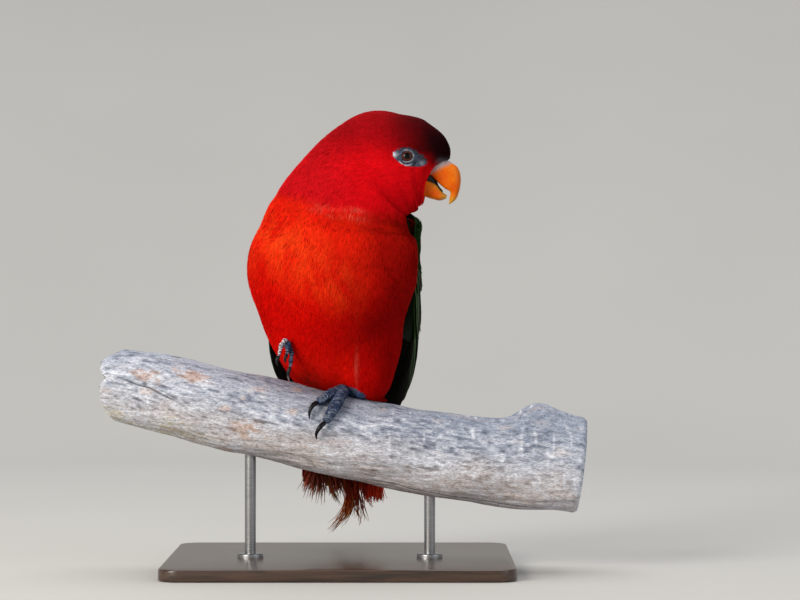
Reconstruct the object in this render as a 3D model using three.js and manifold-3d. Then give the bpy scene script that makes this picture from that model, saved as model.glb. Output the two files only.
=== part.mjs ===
// A life-size chattering lory, perched upright on a short length of branch, head turned to its left,
// standing on its left foot with the right one tucked up, on a plain display stand.
// Millimetres, +Z up. The bird faces -Y, its left side is +X, and z = 0 is the underside of the base.
import * as THREE from 'three';
import { mergeVertices } from 'three/addons/utils/BufferGeometryUtils.js';
import Module from 'manifold-3d';

const wasm = await Module();
wasm.setup();

// Driving dimensions
const GAP = 0.3; // space kept between two nodes that touch
const VANE_THICK = 0.6; // feather vanes
const FEATHER = { root: 0.55, full: 0.35, round: 0.72, blunt: 0.25 }; // shares of its width and its length
const BODY_YAW = 12; // degrees the breast is turned towards the bird's right
const HEAD_YAW = 5; // degrees the head is short of a right angle to the view

const BASE = { width: 200, depth: 176, height: 7, middle: 12, corner: 12, bevel: 1.2 };
const ROD = { radius: 3.2, spread: 52 };

// Perch: centre line and radius by distance along X
const PERCH = {
  left: -137, right: 140,
  line: [
    { x: -137, z: 108.5, r: 20.2 }, { x: -100, z: 101, r: 22.4 }, { x: -60, z: 91.5, r: 23.3 },
    { x: 0, z: 77.8, r: 23.5 }, { x: 45, z: 68.8, r: 24.2 }, { x: 90, z: 62.4, r: 25.6 },
    { x: 125, z: 61.5, r: 27 }, { x: 150, z: 59, r: 27.5 },
  ],
  knob: { x: 114, width: 13, height: 6.5 },
  bark: 0.45, // height of the low waves in its surface
  broken: { deep: 3.5, coarse: 2.2, fine: 1.6, heart: 3 }, // ragged left end
  notch: { radius: 3.2, length: 16, tall: 5, y: -12, z: 110.5 },
  clear: 1, // air between the belly and the bark
};

// Body, neck and head as one run of cross-sections from the rump to the forehead.
// out is towards the nape side, inn towards the throat side, front towards -Y, back towards +Y.
// wideOut and wideInn are how far the breast feathers stand over the front edge of each wing.
const BODY = [
  { x: 0, y: 42, z: 91, out: 0, inn: 0, front: 0, back: 0 },
  { x: 0, y: 35, z: 101, out: 17, inn: 17, front: 12, back: 11 },
  { x: -1, y: 25, z: 115, out: 28, inn: 28, front: 24, back: 17, wideOut: 2, wideInn: 2 },
  { x: -2, y: 14, z: 133, out: 35, inn: 35, front: 34, back: 23, wideOut: 4, wideInn: 4.5 },
  { x: -3.8, y: 6, z: 152, out: 38.5, inn: 38.5, front: 40, back: 27, wideOut: 7, wideInn: 8 },
  { x: -4.6, y: -1, z: 172, out: 39.5, inn: 39.5, front: 42, back: 29, wideOut: 12.5, wideInn: 15 },
  { x: -2.6, y: -5, z: 190, out: 39, inn: 39.5, front: 39, back: 30, wideOut: 9, wideInn: 14 },
  { x: -1, y: -6, z: 203, out: 37, inn: 42, front: 34.5, back: 30, wideOut: 4.5, wideInn: 4.5 },
  { x: 4, y: -6, z: 217, out: 32.5, inn: 39, front: 31.5, back: 29, wideOut: 1.5 },
  { x: 13, y: -6, z: 230, out: 30, inn: 36.5, front: 29, back: 27.5 },
  { x: 27, y: -6.5, z: 238, out: 30.5, inn: 34, front: 26, back: 25.5 },
  { x: 40, y: -7.5, z: 241.5, out: 22.9, inn: 31.5, front: 21.5, back: 21.5 },
  { x: 49, y: -8.3, z: 241.5, out: 18.2, inn: 27.5, front: 17.5, back: 17.5 },
  { x: 54.5, y: -8.8, z: 240.8, out: 14, inn: 16.5, front: 13.5, back: 13.5 },
  { x: 60.3, y: -9.3, z: 238.8, out: 7.7, inn: 6, front: 7.5, back: 7.5 },
  { x: 64.2, y: -9.6, z: 236.9, out: 0, inn: 0, front: 0, back: 0 },
];
const NECK_TURN = { from: 5, to: 11 }; // sections between which the body's turn becomes the head's
// The neck's plumage ends over the breast along a shallow curve about an axis parallel to Y.
const COLLAR = { x: 37, z: 421, radius: 216, lip: 1.2, from: 7.2, to: 9.4 };
const NAPE = { x: 24, z: 236, tilt: 40 }; // plane where the head meets the neck, degrees from upright
const BODY_RINGS = 40;
const BODY_SIDES = 24;

// Head fittings, placed by section number and angle round the section
const EYE = {
  at: 11, angle: 84, radius: 4.6, sunk: 3.4, lidRadius: 3.75, lidTube: 0.75, lidWide: 1.12, lidHigh: 0.92,
  aim: new THREE.Vector3(0.1, 0, 0.06), // each eye looks a little ahead and up
};
// Bill halves: outer edge (ox, oz), inner edge (ix, iz) and half width, from the root to the tip
const BILL_PLANE = { x: 62, y: -9.3 }; // the bill's plane passes here, at the head's turn
const BILL_SQUARE = 0.8; // below 1 its sides are fuller than an ellipse
const UPPER_BILL = [
  { ox: 57, oz: 238, ix: 48.5, iz: 231.5, w: 6 },
  { ox: 63.7, oz: 235.8, ix: 52.3, iz: 229.2, w: 6.3 },
  { ox: 68.4, oz: 232.2, ix: 55.7, iz: 225.7, w: 5.9 },
  { ox: 69.9, oz: 226, ix: 59.6, iz: 220.7, w: 5 },
  { ox: 69.1, oz: 219.8, ix: 63.4, iz: 218.6, w: 3.7 },
  { ox: 67.1, oz: 214.4, ix: 63.4, iz: 215.4, w: 2.3 },
  { ox: 63.2, oz: 211.4, ix: 62.9, iz: 212.2, w: 0.6 },
];
const LOWER_BILL = [
  { ox: 44.5, oz: 226.5, ix: 44, iz: 216.5, w: 5.4 },
  { ox: 50.3, oz: 225.2, ix: 49.2, iz: 215.8, w: 5.3 },
  { ox: 55.2, oz: 222.7, ix: 53.8, iz: 214.4, w: 4.9 },
  { ox: 58.6, oz: 219.2, ix: 58, iz: 213.7, w: 3.9 },
  { ox: 61.9, oz: 216.6, ix: 61.3, iz: 214.8, w: 1.6 },
];
const CERE = { from: 0.35, to: 1.7, proud: 0.6, length: 1.8, lean: 41 };
const NOSTRIL = { radius: 0.95, at: 1.08, side: 42 };

// Wing surface: an axis behind and beside the body, with the side and back reach of the wing's skin
const MANTLE = [
  { x: 1, y: -4, z: 207, side: 38.5, back: 31.5 },
  { x: 0.8, y: 0, z: 178, side: 43.6, back: 31.5 },
  { x: 0.8, y: 9, z: 148, side: 44.4, back: 29 },
  { x: 0.8, y: 24, z: 119, side: 42, back: 22.5 },
  { x: 0.8, y: 45, z: 88, side: 31, back: 13.5 },
  { x: 0.8, y: 63, z: 57, side: 15, back: 8 },
];
// The wing's flesh, from its bend to its wrist, as a share of the wing's length and degrees of turn
const WING_CORE = { to: 0.52, low: -6, high: 58, sweep: 14, thick: 3.2, sunk: 2.6 };

// Rows of wing feathers, from the front edge (first of a pair) to the back edge (second).
// root and tip are shares of the wing's length, angles are turns round it, and along is how many
// lengths each vane is divided into.
const WING_ROWS = {
  primary: {
    count: 6, root: [0.4, 0.4], tip: [1.0, 0.74], rootAngle: [-2, 40], tipAngle: [66, 66],
    width: 11.5, lift: [-1.2, 1.2], tilt: 0.2, along: 4,
  },
  secondary: {
    count: 6, root: [0.22, 0.16], tip: [0.68, 0.6], rootAngle: [0, 60], tipAngle: [6, 82],
    width: 16.5, lift: [-1.2, 3.6], tilt: 0.155, along: 4,
  },
  greater: {
    count: 5, root: [0.12, 0.08], tip: [0.46, 0.4], rootAngle: [2, 52], tipAngle: [-1, 70],
    width: 18, lift: [-0.8, 4.0], tilt: 0.14, along: 3,
  },
  median: {
    count: 5, root: [0.03, 0.03], tip: [0.29, 0.25], rootAngle: [4, 48], tipAngle: [2, 62],
    width: 16, lift: [-0.6, 4.4], tilt: 0.13, along: 3,
  },
};

// Tail: a fan of feathers sloping down behind the perch, the middle pair on top and longest
const TAIL = {
  root: { x: 0.6, y: 34, z: 102 }, slope: 54, yaw: -1, pairs: 6,
  length: 107, shorter: [0, 4, 14, 20, 27, 31], rootPitch: 1.3, tipPitch: 4.4, width: 11.5, narrower: 0.4,
  start: 6, top: 2.6, step: 0.92, camber: 0.04, sag: 2.2,
};
const TAIL_CORE = { from: -6, to: 34, across: 12, over: 7.6, low: -0.3 };
const TAIL_COVERTS = { count: 4, length: 44, width: 12, rootSpan: 15, tipSpan: 27, start: 2, step: 0.95 };
const COVERT_LEVEL = { upper: [6, 4.8], under: [6.6, 5.6] }; // height over the tail's plane, root and tip

// Legs: feathered thighs by their centre line and radii
const THIGH = {
  left: {
    points: [
      { x: 14, y: 7, z: 149 }, { x: 18.5, y: -2, z: 130 }, { x: 19, y: -3, z: 113 }, { x: 18, y: 3, z: 101 },
    ],
    radii: [9, 14.5, 16, 13.5, 7],
  },
  right: {
    points: [{ x: -17, y: 4, z: 146 }, { x: -23, y: -5, z: 130 }, { x: -27, y: -10, z: 117 }],
    radii: [8, 14, 14.5, 12.5, 7],
  },
};
const TOE_GAP = 0.35; // air between a toe and the bark
const TOES = {
  // The standing foot's toes lie on the bark: distance along the perch, turn round it from the top, radius
  left: {
    2: [
      { x: 5, turn: -4, r: 2.6 }, { x: -2, turn: 14, r: 3 }, { x: -9, turn: 34, r: 3 },
      { x: -14.5, turn: 51, r: 2.6 },
    ],
    3: [
      { x: 6, turn: -4, r: 3 }, { x: 2.5, turn: 20, r: 3.5 }, { x: -3, turn: 50, r: 3.5 },
      { x: -8.5, turn: 77, r: 2.9 },
    ],
    1: [
      { x: 7, turn: 6, r: 2.6 }, { x: 5, turn: -18, r: 2.9 }, { x: 2, turn: -38, r: 2.8 },
      { x: -1, turn: -54, r: 2.4 },
    ],
    4: [
      { x: 9, turn: 6, r: 3 }, { x: 11, turn: -22, r: 3.4 }, { x: 13, turn: -50, r: 3.2 },
      { x: 14, turn: -74, r: 2.7 },
    ],
  },
  // The tucked foot's toes curl down from the palm
  right: {
    3: [
      { x: -31, y: -22, z: 131 }, { x: -33, y: -27, z: 131 }, { x: -33.3, y: -29, z: 127 },
      { x: -33, y: -28, z: 123 },
    ],
    2: [
      { x: -29.5, y: -22, z: 130 }, { x: -28.4, y: -27, z: 128.5 }, { x: -28.2, y: -29, z: 124 },
      { x: -28.6, y: -28, z: 120 },
    ],
    4: [
      { x: -31, y: -20, z: 128 }, { x: -31.5, y: -23.5, z: 123 }, { x: -31.4, y: -24.5, z: 118.5 },
      { x: -31, y: -24, z: 115.5 },
    ],
  },
};
const TUCKED_TOE = [2.0, 2.2, 2.1, 1.8]; // radii from the palm to the claw
const PALM = {
  points: [{ x: -26, y: -12, z: 124 }, { x: -29.5, y: -18, z: 130 }, { x: -31, y: -23, z: 130.5 }],
  radii: [3, 3.3, 2.8],
};
// Bare shank of the standing leg: two points over the bark, then up into the thigh
const SHANK = {
  onBark: [{ x: 5, lift: 3.7 }, { x: 9, lift: 4.3 }],
  above: [{ x: 15, y: 2.5, z: 104 }, { x: 18, y: 4, z: 109 }],
  radii: [3.2, 3.8, 3.4, 3.2],
};
const CLAW = {
  radii: [1.5, 1.45, 1.15, 0.75, 0.25],
  slide: { 1: -2.5, 2: -4.6, 3: -5, 4: 1.5 }, // sideways along the perch, by toe
  swing: 25, // degrees round the perch
  arch: 2.6, // height of its back over a straight line to the tip
  tip: 0.6, // height of the tip over the bark
  drop: 9, // fall of a tucked claw
};

const COLOURS = {
  red: 0xd4140f, crimson: 0xb3060f, green: 0x1f3a1c, tailRed: 0x7a1d12, bill: 0xf08018, eye: 0x1b0e0c,
  foot: 0x3d4450, clawBlack: 0x141418, bark: 0xa7a4a6, wood: 0x3b2c22, metal: 0x8a8c90,
};

// Numbers and curves
const rad = THREE.MathUtils.degToRad;
const lerp = THREE.MathUtils.lerp;
const clamp = THREE.MathUtils.clamp;
const smooth = THREE.MathUtils.smoothstep;

// One field of a list of stations, 0 where it has none, at a real position along the list,
// on a smooth curve.
function along(list, key, at) {
  const i = clamp(Math.floor(at), 0, list.length - 2);
  const f = at - i;
  const pick = (k) => list[clamp(k, 0, list.length - 1)][key] ?? 0;
  const [a, b, c, d] = [pick(i - 1), pick(i), pick(i + 1), pick(i + 2)];
  return b + 0.5 * f * (c - a + f * (2 * a - 5 * b + 4 * c - d + f * (3 * (b - c) + d - a)));
}

function centreAt(list, at) {
  return new THREE.Vector3(along(list, 'x', at), along(list, 'y', at), along(list, 'z', at));
}

function backward(yaw) {
  return new THREE.Vector3(Math.sin(rad(yaw)), Math.cos(rad(yaw)), 0);
}

// Centre, side direction and back direction of the section at a place on a list of stations.
function sectionFrame(list, at, yaw) {
  const step = 0.05;
  const ahead = centreAt(list, Math.min(at + step, list.length - 1));
  const behind = centreAt(list, Math.max(Math.min(at, list.length - 1) - step, 0));
  const tangent = ahead.sub(behind).normalize();
  const side = backward(yaw).cross(tangent).normalize();
  return { centre: centreAt(list, at), tangent, side, back: tangent.clone().cross(side) };
}

// Solids and meshes

// Area-weighted outward direction at each corner of a closed surface.
function cornerNormals(positions, triVerts) {
  const geometry = new THREE.BufferGeometry();
  geometry.setAttribute('position', new THREE.BufferAttribute(positions, 3));
  geometry.setIndex(new THREE.BufferAttribute(triVerts, 1));
  geometry.computeVertexNormals();
  return geometry.attributes.normal.array;
}

// A solid from a closed geometry, facing outwards, moved outwards by grow.
function solidOf(geometry, grow = 0) {
  geometry.deleteAttribute('normal');
  geometry.deleteAttribute('uv');
  const merged = mergeVertices(geometry, 1e-4);
  const triVerts = new Uint32Array(merged.index.array);
  const p = merged.attributes.position;
  const [a, b, c] = [new THREE.Vector3(), new THREE.Vector3(), new THREE.Vector3()];
  let volume = 0;
  for (let i = 0; i < triVerts.length; i += 3) {
    a.fromBufferAttribute(p, triVerts[i]);
    b.fromBufferAttribute(p, triVerts[i + 1]);
    c.fromBufferAttribute(p, triVerts[i + 2]);
    volume += a.dot(b.cross(c));
  }
  if (volume < 0) {
    for (let i = 0; i < triVerts.length; i += 3) {
      [triVerts[i + 1], triVerts[i + 2]] = [triVerts[i + 2], triVerts[i + 1]];
    }
  }
  const vertProperties = new Float32Array(p.array);
  if (grow) {
    const normals = cornerNormals(vertProperties, triVerts);
    for (let i = 0; i < vertProperties.length; i++) {
      vertProperties[i] += grow * normals[i];
    }
  }
  return new wasm.Manifold(new wasm.Mesh({ numProp: 3, vertProperties, triVerts }));
}

function joined(solids) {
  return solids.reduce((whole, piece) => whole.add(piece));
}

function largest(solid) {
  return solid.decompose().reduce((a, b) => (b.volume() > a.volume() ? b : a));
}

function meshOf(name, solid, colour, roughness = 0.8, metalness = 0) {
  const made = largest(solid).getMesh();
  const geometry = new THREE.BufferGeometry();
  geometry.setAttribute('position', new THREE.BufferAttribute(made.vertProperties, made.numProp));
  geometry.setIndex(new THREE.BufferAttribute(made.triVerts, 1));
  geometry.computeVertexNormals();
  const material = new THREE.MeshStandardMaterial({ color: colour, roughness, metalness });
  const mesh = new THREE.Mesh(geometry, material);
  mesh.name = name;
  return mesh;
}

// A closed form made from a sphere: place(u, v) gives the point at turn u and length v, both 0 to 1.
function shaped(sides, rings, place, grow = 0) {
  const geometry = new THREE.SphereGeometry(1, sides, rings);
  const p = geometry.attributes.position;
  for (let i = 0; i < p.count; i++) {
    const u = (i % (sides + 1)) / sides;
    const v = Math.floor(i / (sides + 1)) / rings;
    const at = place(u === 1 ? 0 : u, v);
    p.setXYZ(i, at.x, at.y, at.z);
  }
  return solidOf(geometry, grow);
}

// A thin vane: place(u, w, h) gives the point at length u (0 to 1), width w (-1 to 1), height h (mm).
// Its rows stand closer together towards the tip.
function vane(lengths, widths, thick, place) {
  const points = [];
  const faces = [];
  const row = widths + 1;
  const sheet = (lengths + 1) * row;
  for (const side of [1, -1]) {
    for (let i = 0; i <= lengths; i++) {
      for (let j = 0; j <= widths; j++) {
        const at = place(1 - (1 - i / lengths) ** 1.6, (2 * j) / widths - 1, (side * thick) / 2);
        points.push(at.x, at.y, at.z);
      }
    }
  }
  const quad = (a, b, c, d) => faces.push(a, b, c, a, c, d);
  for (let i = 0; i < lengths; i++) {
    for (let j = 0; j < widths; j++) {
      const a = i * row + j;
      const [b, c, d] = [a + 1, a + row + 1, a + row];
      faces.push(a, b, c, a, c, d);
      faces.push(a + sheet, c + sheet, b + sheet, a + sheet, d + sheet, c + sheet);
    }
  }
  for (let i = 0; i < lengths; i++) {
    const [a, d] = [i * row, (i + 1) * row];
    quad(a, d, d + sheet, a + sheet);
    quad(a + widths, a + widths + sheet, d + widths + sheet, d + widths);
  }
  for (let j = 0; j < widths; j++) {
    const end = lengths * row + j;
    quad(j, j + sheet, j + 1 + sheet, j + 1);
    quad(end, end + 1, end + 1 + sheet, end + sheet);
  }
  const geometry = new THREE.BufferGeometry();
  geometry.setAttribute('position', new THREE.Float32BufferAttribute(points, 3));
  geometry.setIndex(faces);
  return solidOf(geometry);
}

// Share of a feather's full half-width at length u: slim at the root, full to near the tip, then rounded.
function featherWidth(u) {
  const { root, full, round, blunt } = FEATHER;
  const tip = Math.sqrt(1 - clamp((u - round) / (1.02 - round), 0, 1) ** 2);
  return lerp(root, 1, smooth(u, 0, full)) * Math.max(tip, blunt);
}

// A direction that no limb runs along, to turn every section from
const STEADY = new THREE.Vector3(0.31, 0.2, 0.93).normalize();

// Round bar with blunt ends along a list of points, with radii spread evenly along it.
function limb(points, radii, { sides = 8, rings = 9, grow = 0 } = {}) {
  const curve = new THREE.CatmullRomCurve3(points.map((q) => new THREE.Vector3(q.x, q.y, q.z)));
  const radiusList = radii.map((r) => ({ r }));
  return shaped(sides, rings, (u, v) => {
    const tangent = curve.getTangent(v);
    const across = STEADY.clone().cross(tangent).normalize();
    const over = tangent.clone().cross(across);
    const blunt = Math.sqrt(Math.max(0, 1 - Math.abs(2 * v - 1) ** 12));
    const r = blunt * along(radiusList, 'r', v * (radii.length - 1));
    return curve.getPoint(v)
      .addScaledVector(across, r * Math.cos(2 * Math.PI * u))
      .addScaledVector(over, r * Math.sin(2 * Math.PI * u));
  }, grow);
}

// Body, neck and head
function bodyFrame(at) {
  return sectionFrame(BODY, at, lerp(BODY_YAW, HEAD_YAW, smooth(at, NECK_TURN.from, NECK_TURN.to)));
}

function bodyPoint(at, turn, lip = 0) {
  const s = bodyFrame(at);
  const [c, n] = [Math.cos(turn), Math.sin(turn)];
  const wide = Math.max(0, along(BODY, c > 0 ? 'wideInn' : 'wideOut', at)) * smooth(-n, -0.12, 0.3);
  const over = lip * (1 - smooth(at, COLLAR.from, COLLAR.to));
  const sideReach = Math.max(0, along(BODY, c > 0 ? 'inn' : 'out', at)) + wide + over;
  const depthReach = Math.max(0, along(BODY, n > 0 ? 'back' : 'front', at)) + over;
  return s.centre.addScaledVector(s.side, sideReach * c).addScaledVector(s.back, depthReach * n);
}

function bodyForm(grow = 0, lip = 0) {
  const last = BODY.length - 1;
  return shaped(BODY_SIDES, BODY_RINGS, (u, v) => (v === 0 || v === 1
    ? centreAt(BODY, last * v)
    : bodyPoint(last * v, 2 * Math.PI * u, lip)), grow);
}

function collarTool(grow = 0) {
  const drum = new THREE.CylinderGeometry(COLLAR.radius + grow, COLLAR.radius + grow, 140, 120);
  return solidOf(drum.translate(COLLAR.x, 0, COLLAR.z));
}

// The part of a solid on one side of the head's joint with the neck: side 1 is the head's.
function napeSide(solid, side, grow = 0) {
  const normal = [side * Math.cos(rad(NAPE.tilt)), 0, side * Math.sin(rad(NAPE.tilt))];
  return solid.trimByPlane(normal, normal[0] * NAPE.x + normal[2] * NAPE.z + GAP / 2 - grow);
}

// Point on a horn between an outer and an inner edge, for the two halves of the bill and the cere.
function hornPoint(stations, at, turn, proud = 0) {
  const [ox, oz, ix, iz] = ['ox', 'oz', 'ix', 'iz'].map((k) => along(stations, k, at));
  const half = new THREE.Vector2((ox - ix) / 2, (oz - iz) / 2);
  half.setLength(half.length() + proud);
  const w = along(stations, 'w', at) + proud;
  const [c, n] = [Math.cos(turn), Math.sin(turn)];
  const across = Math.sign(n) * Math.abs(n) ** BILL_SQUARE;
  const x = (ox + ix) / 2 + half.x * c;
  const middle = BILL_PLANE.y - (x - BILL_PLANE.x) * Math.tan(rad(HEAD_YAW));
  return new THREE.Vector3(x, middle + w * across, (oz + iz) / 2 + half.y * c);
}

function horn(stations, { from = 0, to = stations.length - 1, proud = 0, rings = 13, grow = 0 } = {}) {
  return shaped(14, rings, (u, v) => {
    const at = lerp(from, to, clamp((v * rings - 1) / (rings - 2), 0, 1));
    if (v === 0 || v === 1) {
      return hornPoint(stations, at, 0, proud).lerp(hornPoint(stations, at, Math.PI, proud), 0.5);
    }
    return hornPoint(stations, at, 2 * Math.PI * u, proud);
  }, grow);
}

// Bare swelling over the root of the upper bill, ending square to it.
function cere() {
  const { from, to, proud, length, lean } = CERE;
  const forward = new THREE.Vector3(Math.cos(rad(lean)), 0, -Math.sin(rad(lean)));
  const root = hornPoint(UPPER_BILL, 1, 0).lerp(hornPoint(UPPER_BILL, 1, Math.PI), 0.5);
  const reach = forward.dot(root) + length;
  return horn(UPPER_BILL, { from, to, proud, rings: 7 }).trimByPlane(forward.negate().toArray(), -reach);
}

// Centre of an eyeball and the direction that it looks, on the near (-1) or far (1) side of the head.
function eyePlace(side) {
  const surface = bodyPoint(EYE.at, rad(side * EYE.angle));
  const look = bodyFrame(EYE.at).back.multiplyScalar(side).add(EYE.aim).normalize();
  return { look, centre: surface.addScaledVector(look, -EYE.sunk) };
}

function ball(centre, radius, across = 12, down = 8) {
  return solidOf(new THREE.SphereGeometry(radius, across, down).translate(centre.x, centre.y, centre.z));
}

function lidRing(side) {
  const { look, centre } = eyePlace(side);
  const ring = new THREE.TorusGeometry(EYE.lidRadius, EYE.lidTube, 5, 14);
  ring.scale(EYE.lidWide, EYE.lidHigh, 1);
  ring.applyQuaternion(new THREE.Quaternion().setFromUnitVectors(new THREE.Vector3(0, 0, 1), look));
  ring.translate(...centre.clone().addScaledVector(look, EYE.sunk - 0.1).toArray());
  return solidOf(ring);
}

function nostril(side) {
  const at = hornPoint(UPPER_BILL, NOSTRIL.at, rad(side * NOSTRIL.side), CERE.proud);
  return ball(at, NOSTRIL.radius, 8, 6);
}

function makeHead(wingHollow) {
  const bills = [UPPER_BILL, LOWER_BILL].map((half) => horn(half, { from: -0.04, grow: GAP }));
  let head = napeSide(bodyForm(), 1).intersect(collarTool(-GAP / 2)).add(cere());
  head = head.subtract(wingHollow);
  for (const side of [-1, 1]) {
    const { centre } = eyePlace(side);
    head = head.add(lidRing(side)).subtract(ball(centre, EYE.radius + GAP)).subtract(nostril(side));
  }
  return bills.reduce((rest, bill) => rest.subtract(bill), head);
}

// Perch
function perchAt(x) {
  const list = PERCH.line;
  let i = 0;
  while (i < list.length - 2 && x > list[i + 1].x) {
    i++;
  }
  const at = i + (x - list[i].x) / (list[i + 1].x - list[i].x);
  return { z: along(list, 'z', at), r: along(list, 'r', at) };
}

// Point on the bark: turn 0 is the top and 90 degrees is the front, lift is the height above the bark.
function perchPoint(x, turn, lift = 0) {
  const here = perchAt(x);
  const slope = (perchAt(x + 1).z - perchAt(x - 1).z) / 2;
  const up = new THREE.Vector3(-slope, 0, 1).normalize();
  const topness = Math.max(0, Math.cos(turn));
  const bump = Math.exp(-(((x - PERCH.knob.x) / PERCH.knob.width) ** 2)) * topness ** 2;
  const waves = Math.sin(x * 0.11 + 3 * turn) + 0.6 * Math.sin(x * 0.05 - 2 * turn + 1);
  const r = here.r + PERCH.knob.height * bump + PERCH.bark * waves + lift;
  return new THREE.Vector3(x, 0, here.z)
    .addScaledVector(up, r * Math.cos(turn))
    .addScaledVector(new THREE.Vector3(0, -1, 0), r * Math.sin(turn));
}

// The broken left end: its rim runs in and out with the turn, and its face is a shallow dish.
function brokenEdge(turn) {
  return PERCH.broken.coarse * Math.sin(2 * turn + 0.6) + PERCH.broken.fine * Math.sin(5 * turn);
}

function makePerch(grow = 0) {
  const [sides, rings] = [16, 26];
  const { left, right, broken } = PERCH;
  return shaped(sides, rings, (u, v) => {
    const turn = 2 * Math.PI * u;
    if (v === 0) {
      return new THREE.Vector3(left + broken.heart, 0, perchAt(left).z);
    }
    if (v === 1) {
      return new THREE.Vector3(right, 0, perchAt(right).z);
    }
    if (v * rings < 1.5) {
      const dish = new THREE.Vector3(left - 1, 0, perchAt(left).z);
      return perchPoint(left + brokenEdge(turn), turn).lerp(dish, 0.3);
    }
    const inner = clamp((v * rings - 2) / (rings - 3), 0, 1);
    const edge = inner === 0 ? broken.deep + brokenEdge(turn) : 0;
    return perchPoint(lerp(left, right, inner) + edge, turn);
  }, grow);
}

// Wedge-shaped split in the front of the broken end.
function perchNotch() {
  const { radius, length, tall, y, z } = PERCH.notch;
  const wedge = new THREE.ConeGeometry(radius, length, 4).rotateZ(-Math.PI / 2).scale(1, tall, 1);
  return solidOf(wedge.translate(PERCH.left + 2, y, z));
}

// Wings
function wingPoint(side, s, angle, lift) {
  const at = Math.min(s, 0.999) * (MANTLE.length - 1);
  const f = sectionFrame(MANTLE, at, BODY_YAW * (1 - 0.6 * s));
  const turn = rad(angle);
  return f.centre
    .addScaledVector(f.side, -side * (along(MANTLE, 'side', at) + lift) * Math.cos(turn))
    .addScaledVector(f.back, (along(MANTLE, 'back', at) + lift) * Math.sin(turn));
}

function wingCore(side, grow = 0) {
  const { to, low, high, sweep, thick, sunk } = WING_CORE;
  return shaped(14, 8, (u, v) => {
    const ring = Math.sin(Math.PI * v);
    const s = to * (1 - Math.cos(Math.PI * v)) / 2;
    const across = (1 + ring * Math.cos(2 * Math.PI * u)) / 2;
    const lift = ring * Math.sin(2 * Math.PI * u) * thick - sunk;
    return wingPoint(side, s, lerp(low, high, across) + sweep * s, lift);
  }, grow);
}

function wingVane(side, row, i) {
  const f = i / (row.count - 1);
  const pick = (pair) => lerp(pair[0], pair[1], f);
  const [rootS, tipS] = [pick(row.root), pick(row.tip)];
  const [rootA, tipA] = [pick(row.rootAngle), pick(row.tipAngle)];
  return vane(row.along, 2, VANE_THICK, (u, w, h) => {
    const s = lerp(rootS, tipS, u);
    const at = s * (MANTLE.length - 1);
    const angle = lerp(rootA, tipA, u);
    const [c, n] = [Math.cos(rad(angle)), Math.sin(rad(angle))];
    const reach = Math.hypot(along(MANTLE, 'side', at) * n, along(MANTLE, 'back', at) * c);
    const offset = w * (row.width / 2) * featherWidth(u);
    const lift = lerp(row.lift[0], row.lift[1], u) - row.tilt * offset + h;
    return wingPoint(side, s, angle + THREE.MathUtils.radToDeg(offset / reach), lift);
  });
}

function makeWing(side, bodyGrown) {
  const vanes = Object.values(WING_ROWS).flatMap((row) => (
    Array.from({ length: row.count }, (_, i) => wingVane(side, row, i))));
  return wingCore(side).add(joined(vanes).subtract(bodyGrown));
}

// Tail
function tailFrame() {
  const back = backward(TAIL.yaw);
  const slope = rad(TAIL.slope);
  const down = back.clone().multiplyScalar(Math.cos(slope)).add(new THREE.Vector3(0, 0, -Math.sin(slope)));
  const side = back.clone().cross(new THREE.Vector3(0, 0, 1)).normalize();
  return { down, side, over: side.clone().cross(down).normalize() };
}

function tailPoint(reach, across, height) {
  const f = tailFrame();
  return new THREE.Vector3(TAIL.root.x, TAIL.root.y, TAIL.root.z)
    .addScaledVector(f.down, reach).addScaledVector(f.side, across).addScaledVector(f.over, height);
}

// Tail feather number i from the middle on one side.
function tailVane(side, i) {
  const length = TAIL.length - TAIL.shorter[i];
  const width = TAIL.width - TAIL.narrower * i;
  const level = TAIL.top - TAIL.step * (i + (side > 0 ? 0.5 : 0));
  return vane(4, 2, VANE_THICK, (u, w, h) => {
    const middle = side * (i + 0.5) * lerp(TAIL.rootPitch, TAIL.tipPitch, u);
    const across = middle + (w * width * featherWidth(u)) / 2;
    const height = level + TAIL.camber * Math.abs(across) - TAIL.sag * u * u + h;
    return tailPoint(lerp(TAIL.start, length, u), across, height);
  });
}

// Covert number i of the short row over (sign 1) or under (sign -1) the root of the tail.
function tailCovert(i, sign) {
  const { count, length, width, rootSpan, tipSpan, start, step } = TAIL_COVERTS;
  const f = i / (count - 1) - 0.5;
  const [rootLevel, tipLevel] = sign > 0 ? COVERT_LEVEL.upper : COVERT_LEVEL.under;
  return vane(3, 2, VANE_THICK, (u, w, h) => {
    const reach = lerp(start, length * (1 - 0.5 * Math.abs(f)), u);
    const across = f * lerp(rootSpan, tipSpan, u) + (w * width * featherWidth(u)) / 2;
    const level = lerp(rootLevel, tipLevel, u) + (i % 2) * step;
    return tailPoint(reach, across, sign * level - TAIL.sag * (reach / TAIL.length) ** 2 + h);
  });
}

function tailCore(grow = 0) {
  const { from, to, across, over, low } = TAIL_CORE;
  return shaped(14, 8, (u, v) => {
    const r = Math.sin(Math.PI * v);
    const reach = lerp(from, to, (1 - Math.cos(Math.PI * v)) / 2);
    const height = low + over * r * Math.sin(2 * Math.PI * u);
    return tailPoint(reach, across * r * Math.cos(2 * Math.PI * u), height);
  }, grow);
}

function makeTail(bodyGrown) {
  const numbers = (count) => Array.from({ length: count }, (_, i) => i);
  const feathers = [-1, 1].flatMap((side) => numbers(TAIL.pairs).map((i) => tailVane(side, i)));
  const coverts = [-1, 1].flatMap((sign) => numbers(TAIL_COVERTS.count).map((i) => tailCovert(i, sign)));
  return tailCore().add(joined([...feathers, ...coverts]).subtract(bodyGrown));
}

// Legs and feet
const CLAW_MESH = { sides: 7, rings: 8 };

function makeThigh(leg, grow = 0) {
  return limb(leg.points, leg.radii, { sides: 16, rings: 12, grow });
}

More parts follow.
